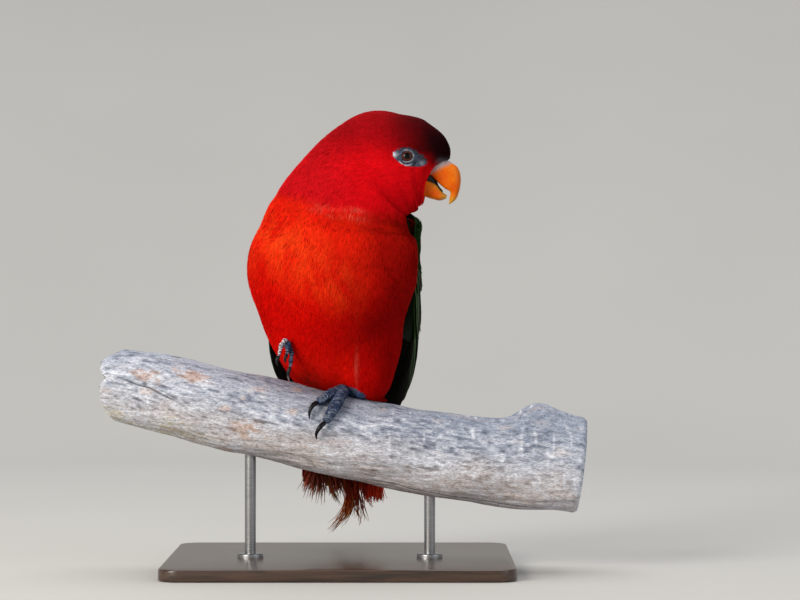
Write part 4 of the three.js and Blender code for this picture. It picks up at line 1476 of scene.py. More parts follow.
def outward(shape: Shape) -> Shape:
    """Turns a closed shape's faces outwards.

    Args:
        shape: the shape.

    Returns:
        The same shape.
    """
    p, q, r = (shape.points[shape.faces[:, k]] for k in range(3))
    if (p * np.cross(q, r)).sum() < 0:
        shape.faces = shape.faces[:, ::-1]
    return shape


def flesh(points: Array, colour: str) -> Shape:
    """Closed core of one colour for feathers to grow from.

    Args:
        points: rings by points round each ring by three.
        colour: as a hex value.

    Returns:
        The shape, with both maps that a feather has.
    """
    shape = outward(tube(points))
    shape.colours = srgb(colour) * np.ones((len(shape.points), 1))
    shape.maps = {"Web": np.zeros((len(shape.points), 2)), "OFBake": shape.maps["Round"] * [0.05, 0.0005]}
    return shape


@dataclass(frozen=True)
class Row:
    """A row of wing feathers, from the front edge (first of a pair) to the back edge (second)."""

    count: int
    root: tuple[float, float]
    tip: tuple[float, float]
    root_angle: tuple[float, float]
    tip_angle: tuple[float, float]
    width: float
    lift: tuple[float, float]
    tilt: float = 0.09
    sweep: float = 1.0  # higher keeps the feathers along the front edge for longer


class Layer(Enum):
    """The rows of a folded wing, from the lowest."""

    PRIMARY = Row(9, (0.4, 0.4), (0.995, 0.72), (-2, 40), (66, 66), 11.5, (-0.6, 1.2), 0.09, 2.4)
    SECONDARY = Row(10, (0.22, 0.16), (0.74, 0.6), (0, 60), (16, 82), 15, (-1.2, 2.6))
    GREATER = Row(13, (0.12, 0.08), (0.48, 0.4), (2, 52), (4, 70), 11.0, (-0.8, 3.2))
    MEDIAN = Row(15, (0.03, 0.03), (0.31, 0.26), (4, 48), (4, 64), 9.0, (-0.4, 3.7))


@dataclass
class Wing:
    """A folded wing: flight feathers and coverts in tiers over its flesh."""

    form: WingForm
    name: str
    outer: str = "#16300f"
    edge: str = "#33501a"
    inner: str = "#0d150a"
    rust: str = "#4a2c18"
    covert: str = "#244418"
    under: str = "#1c2014"

    def tint(self, row: Layer, tone: float) -> Callable[[Array, Array, bool], Array]:
        """Colours of one feather: green outer web, black inner web, a paler rim, rusty streaks below.

        Args:
            row: the row that the feather is in.
            tone: brightness of this feather.

        Returns:
            A function of places on the feather.
        """
        outer, edge, inner, rust, under = (srgb(c) for c in (
            self.outer, self.edge, self.inner, self.rust, self.under))
        side = self.form.side

        def colours(u: Array, w: Array, upper: bool) -> Array:
            """Colours of one face of the vane.

            Args:
                u: share of the feather's length.
                w: share of its half width, by side.
                upper: whether it is the upper face.

            Returns:
                Linear red, green and blue.
            """
            if not upper:
                return mixed(under, inner, smooth(u, 0, 0.6)) * np.ones((*u.shape, 1))
            towards_back = smooth(w, -0.1, 0.25)
            hue = mixed(mixed(outer, edge, bump(w, -0.95, 0.25) * 0.7), inner, towards_back * 0.8)
            if row is Layer.PRIMARY:
                hue = mixed(hue, inner, 0.8 * smooth(w, -0.8, -0.1) + 0.2 * smooth(u, 0.4, 0.9))
            streak = noise(np.stack([u * 8, w * 9, 0 * u + 50 * tone + side], -1), 1.0, 5)
            hue = mixed(hue, rust, 0.5 * np.clip(streak, 0, 1) * smooth(u, 0.3, 0.9))
            return hue * tone

        return colours

    def feather(self, layer: Layer, i: int, cell: tuple[int, int], cells: int,
                rng: Dice) -> Shape:
        """One feather of a row.

        Args:
            layer: number of its row.
            i: number of the feather in its row.
            cell: its cell in the map that colours are baked by.
            cells: columns and rows of that map.
            rng: random source.

        Returns:
            The feather.
        """
        row, form = layer.value, self.form
        f = i / (row.count - 1)
        (root_s, tip_s), (root_a, tip_a) = (
            (lerp(*row.root, f), lerp(*row.tip, f)), (lerp(*row.root_angle, f), lerp(*row.tip_angle, f)))
        tip_s += rng.uniform(-0.006, 0.006)
        tip_a += rng.uniform(-0.8, 0.8)
        sides, backs = column(form.stations, "side"), column(form.stations, "back")

        def place(u: Array, across: Array, over: Array) -> Array:
            """Places on the feather.

            Args:
                u: share of the feather's length.
                across: millimetres across the feather.
                over: millimetres over its middle.

            Returns:
                The points.
            """
            s, angle = lerp(root_s, tip_s, u), lerp(root_a, tip_a, u ** row.sweep)
            at = np.clip(s, 0, 0.999) * (len(form.stations) - 1)
            reach = np.hypot(spline(sides, at) * np.sin(np.radians(angle)),
                             spline(backs, at) * np.cos(np.radians(angle)))
            lift = lerp(row.lift[0], row.lift[1] * min(1, 0.3 + 3 * f), u) - row.tilt * across + over
            return form.place(s, angle + np.degrees(across / reach), lift)

        length = 185 * (tip_s - root_s)
        tone = 1 + rng.normal(0, 0.08)
        return Web().made(place, length, row.width / 2, self.tint(layer, tone), cell, cells, rng)

    def core(self) -> Shape:
        """The wing's flesh, from its bend to its wrist.

        Returns:
            The core.
        """
        v, u = np.meshgrid(np.linspace(0.0, 1, 26), np.linspace(0, 1, 41)[:-1], indexing="ij")
        ring = np.sin(np.pi * v) ** 0.5
        s = 0.52 * (1 - np.cos(np.pi * v)) / 2
        across = (1 + ring * np.cos(2 * np.pi * u)) / 2
        angle = lerp(-6.0, 58.0, across) + 14 * s
        lift = ring * np.sin(2 * np.pi * u) * 3.0 - 2.6 + self.shoulder(0.30 - s, angle)
        return flesh(self.form.place(s, angle, lift), self.outer)

    def shoulder(self, a: Array, b: Array) -> Array:
        """How far the left wing's bend swells, by distance from the median coverts and degrees of turn."""
        swell = 4.6 * bump(a, 0.25, 0.055) + 2.2 * smooth(a, 0.11, 0.17)
        return swell * (1 - smooth(b, 4, 44)) * (self.form.side > 0)

    def small_tint(self, points: Array) -> Array:
        """Colours of the small coverts: green, darker towards the wing's front edge.

        Args:
            points: places in millimetres, one a row.

        Returns:
            Linear red, green and blue.
        """
        s, angle, _ = self.form.found(points[::40])
        s, angle = (np.repeat(v, 40)[:len(points)] for v in (s, angle))
        green = mixed(srgb(self.covert), srgb(self.outer), smooth(s, 0.05, 0.25))
        return green * (lerp(0.45, 1.0, smooth(angle, 0, 30)) * (1 + 0.25 * noise(points, 3, 8)))[:, None]

    def small_coverts(self, rng: Dice) -> Shape:
        """Small feathers from the shoulder to the median coverts.

        Args:
            rng: random source.

        Returns:
            The feathers.
        """
        def place(a: Array, b: Array, lift: Array | float = 0.0) -> Array:
            """Points on the front of the wing."""
            return self.form.place(0.30 - a, b, lift + 15 * (0.27 - a) - 0.2 + self.shoulder(a, b))

        ground = Ground(place, (0.0, 0.30), (-16, 84), (120, 101))
        a, b = ground.roots(2.6, (0.07, 0.295), 0.3, rng)
        keep = a > 0.115 + 0.05 * smooth(b, 55, 84) + 0.03 * np.sin(b / 6) + rng.normal(0, 0.012, len(a))
        keep &= 0.30 - a > self.form.top(b) + rng.normal(0, 0.006, len(a))
        keep &= b > 10 * smooth(-a, -0.2, -0.12) - 12
        a, b = a[keep], b[keep]
        kind = Feather(10, 6.0, sunk=1.0, proud=0.5)
        size = lerp(1.1, 0.7, smooth(a, 0.13, 0.28))
        return fanned(ground, a, b, kind, self.small_tint, rng, size, rng.normal(0, 6, len(a)), 0.0, (0.3, 360))

    def build(self, web: Material, barbs: Material, seed: int) -> None:
        """Builds the wing's feathers and coverts.

        Args:
            web: finish of the flight feathers.
            barbs: finish of the small feathers.
            seed: seed of the random source.
        """
        rng = np.random.default_rng(seed)
        cells, shapes = 8, [self.core()]
        for layer in Layer:
            for i in range(layer.value.count):
                n = len(shapes)
                shapes.append(self.feather(layer, i, (n % cells, n // cells), cells, rng))
        dressed(gathered(shapes).made(self.name + "_feathers"), web, (self.name,))
        dressed(self.small_coverts(rng).made(self.name + "_coverts"), barbs)


@dataclass(frozen=True)
class Tuft:
    """A tuft of loose barbs: places across and down the tail, how many, and their colours."""

    line: tuple[tuple[float, float], ...]
    count: int
    spread: float
    root: str
    tip: str
    curl: float = 0.6
    least: float = 0.6  # share of the line that the shortest barb reaches


TUFTS = (
    Tuft(((-17, 40), (-18, 52), (-23.5, 70)), 34, 2.6, "#74160c", "#d06a50"),
    Tuft(((-15, 40), (-15, 56), (-18.5, 77)), 30, 2.6, "#6c140a", "#eaa490"),
    Tuft(((-12, 42), (-12, 56), (-13.5, 80)), 30, 2.6, "#5c120a", "#f0b4a4"),
    Tuft(((-14, 42), (-11, 56), (-3, 81)), 44, 1.8, "#8a4818", "#bc8838"),
    Tuft(((-12, 42), (-6, 58), (4, 68)), 22, 2.4, "#6a2014", "#e8b8a4", 1.6),
    Tuft(((-2, 42), (3, 60), (4.5, 76), (1, 90), (-8, 103)), 44, 3.0, "#9c260e", "#b4743a", 1.1),
    Tuft(((-1, 42), (2, 60), (5.5, 76), (3, 88), (-3, 96)), 26, 3.4, "#b82c14", "#cc8450", 1.4),
    Tuft(((6, 42), (8, 66), (11, 88), (12.5, 98)), 20, 3.4, "#7a1c10", "#d09078", 1.6),
    Tuft(((11, 42), (13, 64), (15, 76), (20, 82)), 18, 2.4, "#84180c", "#e4ac98", 2.2),
    Tuft(((15.5, 40), (16.5, 58), (17.5, 76)), 150, 4.4, "#b81408", "#ee4428", least=0.84),
    Tuft(((20.5, 40), (21, 58), (21.8, 78)), 130, 2.6, "#d01808", "#fa5a38", least=0.86),
    Tuft(((-16, 40), (-15.5, 54), (-16, 70)), 110, 5.0, "#4c120a", "#b05a44", least=0.75),
    Tuft(((-7, 40), (-6, 54), (-4, 71)), 110, 6.0, "#44100a", "#a04c34", least=0.75),
    Tuft(((2, 40), (4, 54), (6, 72)), 110, 7.0, "#420e08", "#9c3a26", least=0.75),
    Tuft(((10, 40), (11, 54), (13, 72)), 100, 6.0, "#500e08", "#a83420", least=0.75),
)


@dataclass
class Tail:
    """Twelve tail feathers in a narrow fan, worn at their ends, with coverts over and under."""

    form: TailForm
    pairs: int = 6
    length: float = 79.0
    shorter: tuple[float, ...] = (0, 4, 7, 9, 10, 12)
    pitch: tuple[float, float] = (1.3, 4.4)
    width: float = 11.5
    start: float = 6.0
    top: float = 2.6
    step: float = 0.92
    sag: float = 2.2
    red: str = "#8c1410"
    olive: str = "#4b3a1e"
    dusk: str = "#1c2414"
    below: str = "#6a4a26"
    covert: str = "#c80c08"

    def tint(self, tone: float, i: int) -> Callable[[Array, Array, bool], Array]:
        """Colours: red at the root, olive and dusky green at the tip, browner from below.

        Args:
            tone: brightness of this feather.
            i: number of the feather in its row.

        Returns:
            A function of places on the feather.
        """
        red, olive, dusk, below = (srgb(c) for c in (self.red, self.olive, self.dusk, self.below))

        def colours(u: Array, w: Array, upper: bool) -> Array:
            """Colours of one face of the vane.

            Args:
                u: share of the feather's length.
                w: share of its half width, by side.
                upper: whether it is the upper face.

            Returns:
                Linear red, green and blue.
            """
            if upper:
                return mixed(mixed(red, olive, smooth(u, 0.45, 0.75)), dusk, smooth(u, 0.7, 0.95)) * tone
            hue = mixed(red, below, smooth(u, 0.42, 0.7) * (1 - 0.1 * i))
            return mixed(hue, dusk, 0.6 * bump(w, 0.7, 0.4)) * tone

        return colours

    def feather(self, side: int, i: int, cell: tuple[int, int], cells: int, rng: Dice) -> Shape:
        """Tail feather number i from the middle on one side.

        Args:
            side: 1 is the bird's left.
            i: number of the feather from the middle.
            cell: its cell in the map that colours are baked by.
            cells: columns and rows of that map.
            rng: random source.

        Returns:
            The feather.
        """
        length = self.length - self.shorter[i] - rng.uniform(0, 3)
        level = self.top - self.step * (i + (0.5 if side > 0 else 0.0))
        lean = rng.uniform(-1.5, 1.5)

        def place(u: Array, across: Array, over: Array) -> Array:
            """Places on the feather.

            Args:
                u: share of the feather's length.
                across: millimetres across the feather.
                over: millimetres over its middle.

            Returns:
                The points.
            """
            middle = side * (i + 0.5) * lerp(*self.pitch, u) + lean * u ** 2
            height = level + 0.04 * np.abs(middle + across) - self.sag * u * u + over
            return self.form.place(lerp(self.start, length, u), middle + across, height)

        worn = Web(rows=30, columns=10, worn=0.3, dish=0.3, full=0.3, round=0.45)
        return worn.made(place, length, self.width / 2 - 0.2 * i, self.tint(1 + rng.normal(0, 0.1), i),
                         cell, cells, rng)

    def covert_tint(self, points: Array) -> Array:
        """Colours of the coverts: red, browner and frayed pale at the lowest tips.

        Args:
            points: places in millimetres, one a row.

        Returns:
            Linear red, green and blue.
        """
        red, brown, pale = (srgb(c) for c in (self.covert, "#6e1c12", "#c08070"))
        hue = mixed(red, brown, smooth(-points[:, 0] + 3 * noise(points, 5, 3), -6, 10) * 0.8)
        return mixed(hue, pale, 0.4 * smooth(-points[:, 2], -52, -42) * np.clip(noise(points, 3, 4), 0, 1))

    def coverts(self, rng: Dice) -> dict[str, Shape]:
        """Long soft feathers under and over the root of the tail.

        Args:
            rng: random source.

        Returns:
            The shapes by name.
        """
        shapes = {}
        for name, sign, reach in (("tail_coverts_under", -1, 50), ("tail_coverts_over", 1, 34)):
            def place(a: Array, b: Array, lift: Array | float = 0.0, sign: int = sign) -> Array:
                """Points over or under the tail's root.

                Args:
                    a: millimetres down the tail.
                    b: millimetres across it.
                    lift: millimetres over the surface.
                    sign: 1 is over the tail.

                Returns:
                    The points.
                """
                down = 62 - a
                level = lerp(7.2, 4.4, smooth(down, 0, 60)) - 0.006 * b ** 2 + lift
                return self.form.place(down, b * lerp(0.7, 1.2, smooth(down, 0, 60)), sign * level - 0.8)

            ground = Ground(place, (0.0, 60.0), (-20, 20), (120, 81))
            a, b = ground.roots(3.4, (62 - reach, 58.0), 0.35, rng)
            kind = Feather(24, 7, barbs=8, bends=(0.0, 0.3, 0.6, 0.85), barb=0.6, sunk=1.6, proud=0.6,
                           loose=0.8, ragged=0.25, root_shade=0.6)
            size = lerp(1.0, 0.7, smooth(a, 20, 58)) * (1 + rng.normal(0, 0.12, len(a)))
            shapes[name] = fanned(ground, a, b, kind, self.covert_tint, rng, size,
                                  rng.normal(0, 6, len(a)), 0.0, (60, 40))
        return shapes

    def strands(self, rng: Dice) -> Shape:
        """Loose frayed barbs that hang out from under the tail, in tufts.

        Args:
            rng: random source.

        Returns:
            The barbs.
        """
        points, colours = [], []
        v, turn = np.linspace(0, 1, 9), np.radians([90, 210, 330])
        for tuft in TUFTS:
            dark, light = srgb(tuft.root), srgb(tuft.tip)
            line = np.array(tuft.line, float)
            for _ in range(tuft.count):
                start, reach = rng.normal(0, 0.35, 2) * tuft.spread, rng.uniform(tuft.least, 1.04)
                stray = rng.normal(0, 0.6, 2) * tuft.spread
                curl, phase = rng.uniform(0.3, 1) * tuft.curl, rng.uniform(0, math.tau)
                flat = spline(line, v * reach * (len(line) - 1))
                across = flat[:, 0] + start[0] + stray[0] * v ** 2 + curl * np.sin(4 * v ** 2 + phase) * v
                height = -5.4 + start[1] + stray[1] * v ** 2 - 1.5 * v + curl * np.cos(4 * v ** 2 + phase) * v
                run = self.form.place(flat[:, 1], across, height)
                radius = rng.uniform(0.24, 0.42) * (1 - v ** 4) + 0.08
                ring = np.stack([np.cos(turn), 0.6 * np.sin(turn), 0 * turn], -1)
                points.append(run[:, None] + ring[None] * radius[:, None, None])
                tone = rng.uniform(0.5, 1.5) * np.ones(len(v))
                worn = 0.7 * (rng.random() < 0.14)
                hue = mixed(dark, light, smooth(v * reach, 0.35 - worn, 1.0 - worn)) * tone[:, None]
                colours.append(np.concatenate([np.repeat(hue, 3, axis=0), hue[[0, -1]]]))
        shapes = [outward(tube(p)) for p in points]
        shape = gathered(shapes)
        shape.colours = np.clip(np.concatenate(colours), 0, 1)
        shape.maps = {"OFBake": np.repeat(rng.uniform(0.02, 0.98, (len(shapes), 2)), len(v) * 3 + 2, axis=0)
                      + shape.maps["Round"] * [0.003, 0.00003]}
        return shape

    def core(self) -> Shape:
        """The flesh that the tail feathers grow from.

        Returns:
            The core.
        """
        v, u = np.meshgrid(np.linspace(0, 1, 24), np.linspace(0, 1, 33)[:-1], indexing="ij")
        r = np.sin(np.pi * v)
        reach = lerp(-6.0, 34.0, (1 - np.cos(np.pi * v)) / 2)
        across, height = 12 * r * np.cos(2 * np.pi * u), -0.3 + 7 * r * np.sin(2 * np.pi * u)
        return flesh(self.form.place(reach, across, height), "#5a0806")

    def build(self, web: Material, barbs: Material) -> None:
        """Builds the tail and its coverts.

        Args:
            web: finish of the flight feathers.
            barbs: finish of the small feathers.
        """
        rng = np.random.default_rng(31)
        cells, shapes = 4, [self.core()]
        for side in (-1, 1):
            for i in range(self.pairs):
                n = len(shapes)
                shapes.append(self.feather(side, i, (n % cells, n // cells), cells, rng))
        dressed(gathered(shapes).made("tail_feathers"), web, ("tail",))
        for name, shape in {**self.coverts(rng), "tail_strands": self.strands(rng)}.items():
            dressed(shape.made(name), barbs)


# Head fittings

def from_sphere(name: str, segments: int, rings: int,
                place: Callable[[Array, Array], Array]) -> tuple[Piece, Array, Array]:
    """Adds a round primitive and carries each of its points to its place on a form.

    Args:
        name: the piece's name.
        segments: faces round it.
        rings: faces from pole to pole.
        place: gives points from the turn and the share from pole to pole, both 0 to 1.

    Returns:
        The piece, and both coordinates of each point.
    """
    nothing_selected()
    bpy.ops.mesh.primitive_uv_sphere_add(segments=segments, ring_count=rings, radius=MM)
    piece = bpy.context.active_object
    start = unit(coordinates(piece))
    u = (np.arctan2(start[:, 1], start[:, 0]) / math.tau) % 1.0
    v = np.arccos(np.clip(start[:, 2], -1, 1)) / math.pi
    reshaped(piece, place(u, v))
    piece.name = piece.data.name = name
    faces = piece.data.polygons
    away = read(faces, "center", 3) / MM - coordinates(piece).mean(0)
    if (away * read(faces, "normal", 3)).sum(1) @ read(faces, "area", 1)[:, 0] < 0:
        piece.data.flip_normals()
    faces.foreach_set("use_smooth", np.ones(len(faces), bool))
    return piece, u, v


@dataclass(frozen=True)
class HornStation:
    """Outer edge, inner edge and half width of the bill at one place along it."""

    ox: float
    oz: float
    ix: float
    iz: float
    w: float


@dataclass(frozen=True)
class Horn:
    """One half of the bill, in the head's own plane."""

    stations: tuple[HornStation, ...]
    plane: tuple[float, float] = (62.0, -9.3)
    yaw: float = 5.0
    fullness: float = 0.8
    edge: float = 0.5  # lower is a sharper edge between its side and its inner face

    def place(self, at: Array, turn: Array, proud: Array | float = 0.0) -> Array:
        """Points on the horn: turn 0 is its outer edge and 180 its inner one, in degrees.

        Args:
            at: place along the form, in its own stations.
            turn: degrees round it.
            proud: millimetres over the surface.

        Returns:
            The points.
        """
        ox, oz, ix, iz, w = (spline(column(self.stations, k), at) for k in ("ox", "oz", "ix", "iz", "w"))
        half_x, half_z = (ox - ix) / 2, (oz - iz) / 2
        grown = 1 + proud / np.maximum(np.hypot(half_x, half_z), 1e-6)
        c, n = around(turn)
        power = np.where(c < 0, lerp(self.fullness, self.edge, np.clip(-c, 0, 1)), self.fullness)
        across = np.sign(n) * np.abs(n) ** power
        x = (ox + ix) / 2 + half_x * grown * c
        middle = self.plane[1] - (x - self.plane[0]) * math.tan(math.radians(self.yaw))
        return np.stack([x, middle + (w + proud) * across, (oz + iz) / 2 + half_z * grown * c], -1)


@dataclass
class Bill:
    """Hooked upper half, lower half, the bare cere with its nostrils and the inside of the mouth, with painted shade
    in the nostrils and the mouth.
    """

    upper: Horn = Horn((
        HornStation(57, 238, 48.5, 231.5, 6), HornStation(63.7, 235.8, 51.2, 228.6, 6.3),
        HornStation(68.4, 232.2, 54.6, 225.0, 5.9), HornStation(69.9, 226, 59.6, 220.7, 5),
        HornStation(69.1, 219.8, 63.4, 218.6, 3.7), HornStation(67.1, 214.4, 63.4, 215.4, 2.3),
        HornStation(63.2, 211.4, 62.9, 212.2, 0.6),
    ))
    lower: Horn = Horn((
        HornStation(44.5, 226.5, 44, 216.5, 5.4), HornStation(50.3, 225.8, 49.2, 215.8, 5.3),
        HornStation(55.4, 223.4, 53.8, 214.4, 4.9), HornStation(58.6, 219.2, 58, 213.7, 3.9),
        HornStation(61.9, 216.6, 61.3, 214.8, 1.6),
    ), edge=0.8)
    cere_ends: tuple[float, float] = (0.1, 1.3)
    cere_proud: float = 0.75
    nostril: tuple[float, float, float] = (1.0, 42.0, 0.95)  # place along, turn and radius
    orange: str = "#e87604"
    deep: str = "#d84a00"
    yellow: str = "#c89830"
    olive: str = "#a8883c"
    # dark: painted shade in the nostrils, on the halves' inner faces and inside the mouth
    dark: str = "#0a0505"
    cere: str = "#a8948f"
    forward: float = 62.0  # degrees that the edge between the cere and the orange horn slopes

    def past_root(self, points: Array) -> Array:
        """Millimetres that points are in front of the bill's root.

        Args:
            points: places in millimetres, one a row.

        Returns:
            The distances.
        """
        turn = math.radians(self.forward)
        root = self.upper.place(np.array([1.0, 1.0]), np.array([0.0, 180.0])).mean(0)
        return (points - root) @ np.array([math.cos(turn), 0.0, -math.sin(turn)])

    def half(self, name: str, horn: Horn, tips: float) -> Hued:
        """One half as a smooth horn with fine growth lines.

        Args:
            name: the piece's name.
            horn: its form.
            tips: tones of its root and tip.

        Returns:
            The piece and its colours.
        """
        last, end, upper = len(horn.stations) - 1, 0.045, horn is self.upper

        def place(u: Array, v: Array) -> Array:
            """The horn drawn to a point at its tip.

            Args:
                u: share of the way round.
                v: share of the way along.

            Returns:
                The points.
            """
            at = last * np.clip((v - end) / (1 - 1.2 * end), 0, 1)
            lines = 0.03 * np.sin(at * 21 + 1.5 * np.sin(at * 5))
            hollow = 2.6 * bump((u + 0.5 * upper + 0.5) % 1 - 0.5, 0, 0.045) * (1 - smooth(at / last, 0.5, 0.8))
            point = horn.place(at, 360 * u, lines + 0.08 * noise(horn.place(at, 360 * u), 2.5, 6) - hollow)
            middle = (horn.place(at, 0 * u) + horn.place(at, 180 + 0 * u)) / 2
            close = np.minimum(1, np.minimum(v / end, (1 - v) / (0.2 * end)))
            return middle + (point - middle) * np.sqrt(close)[:, None]

        piece, u, v = from_sphere(name, 72, 96, place)
        at = np.clip((v - end) / (1 - 1.2 * end), 0, 1)
        outer = np.cos(math.tau * u)
        fine = noise(coordinates(piece), 1.1, 9)
        points = coordinates(piece)
        deep, orange, yellow, dark, cere, olive = (srgb(c) for c in (
            self.deep, self.orange, self.yellow, self.dark, self.cere, self.olive))
        hue = mixed(deep, orange, np.clip(0.6 + 0.5 * noise(points, 4, 8) + 0.2 * fine, 0, 1))
        rim = smooth(outer, 0.8, 1.0) if upper else smooth(outer, 0.3, 0.95)
        hue = mixed(hue, olive if upper else yellow, rim * smooth(at, 0.15, 0.5) * (0.55 if upper else 1.0))
        hue = mixed(hue, yellow, np.clip(0.9 * smooth(at, tips, 0.97) + 0.06 * fine, 0, 1))
        if upper:
            hue = mixed(hue, cere, 1 - smooth(self.past_root(points) + 0.5 * fine, -1.0, 2.2))
        # Painted shade on the inner faces near the root, inside the mouth
        inner = smooth(-outer if upper else outer, 0.93, 0.99) * (1 - smooth(at, 0.5, 0.8))
        return piece, mixed(hue, dark, inner)

    def cere_piece(self) -> Hued:
        """The bare swelling over the root of the upper half, pitted by the nostrils.

        Returns:
            The piece and its colours.
        """
        low, high = self.cere_ends
        along, side, radius = self.nostril

        def reach(at: Array, turn: Array) -> Array:
            """Depth of the two nostrils at places on the cere.

            Args:
                at: place along the form, in its own stations.
                turn: degrees round it.

            Returns:
                0 to 1, deepest in a nostril.
            """
            pits = 0
            for sign in (-1, 1):
                away = np.hypot((at - along) * 7.0, (((turn - sign * side + 180) % 360) - 180) * 0.105)
                pits = pits + np.exp(-((away / radius) ** 4))
            return pits

        def shape(u: Array, v: Array) -> tuple[Array, Array]:
            """Spreads the sphere's points over the cere.

            Args:
                u: share of the way round.
                v: share of the way along.

            Returns:
                Stations and turns.
            """
            turn = 360 * u
            front = lerp(high, high - 0.12, np.cos(np.radians(turn)) ** 2)
            return lerp(low, front, v), turn

        def place(u: Array, v: Array) -> Array:
            """Points of the swelling, upper face and under face.

            Args:
                u: share of the way round.
                v: share of the way along.

            Returns:
                The points.
            """
            at, turn = shape(u, v)
            swell = self.cere_proud * np.clip(np.sin(np.pi * v), 0, 1) ** 0.4
            wrinkles = 0.10 * noise(self.upper.place(at, turn), 0.8, 3)
            point = self.upper.place(at, turn, swell + wrinkles - 0.4 - 1.5 * reach(at, turn))
            middle = (self.upper.place(at, 0 * u) + self.upper.place(at, 180 + 0 * u)) / 2
            return middle + (point - middle) * np.minimum(1, np.sin(np.pi * v) / 0.06)[:, None] ** 0.5

        piece, u, v = from_sphere("cere", 128, 64, place)
        at, turn = shape(u, v)
        points = coordinates(piece)
        hue = mixed(srgb(self.cere), srgb(self.orange),
                    smooth(self.past_root(points) + 0.5 * noise(points, 1.5, 2), -1.0, 2.2))
        hue = hue * (1 + 0.15 * noise(points, 0.9, 4))[:, None]
        # Painted shade in the nostril pits
        return piece, mixed(hue, srgb(self.dark), np.clip(reach(at, turn) * 1.2, 0, 1))

    def mouth(self) -> Hued:
        """The back of the mouth and a blunt tongue between the halves, near black for the painted shade inside the
        gape.

        Returns:
            The piece and its colours.
        """
        tongue = Limb(((45, -8, 226.3), (50.6, -8.6, 227), (53.4, -9, 224.6), (56.2, -9.2, 221.4),
                       (59.4, -9.3, 218.4)),
                      (4, 3.8, 2.9, 1.3, 0.8))
        piece, _, v = from_sphere("mouth", 32, 48, lambda u, v: tongue.place(v, 360 * u))
        # Near black: painted shade inside the open gape
        hue = mixed(srgb("#030202"), srgb(self.dark), smooth(v, 0.6, 0.95))
        return piece, hue

    def build(self, horn: Material, soft: Material) -> None:
        """Builds the bill.

        Args:
            horn: the horn's finish.
            soft: finish of the bare skin.
        """
        for name, form, tips in (("upper_bill", self.upper, 0.66), ("lower_bill", self.lower, 0.6)):
            piece, hue = self.half(name + "_horn", form, tips)
            dressed(piece, horn, (name,), hue)
        for piece, hue in (self.cere_piece(), self.mouth()):
            dressed(piece, soft, hue=hue)


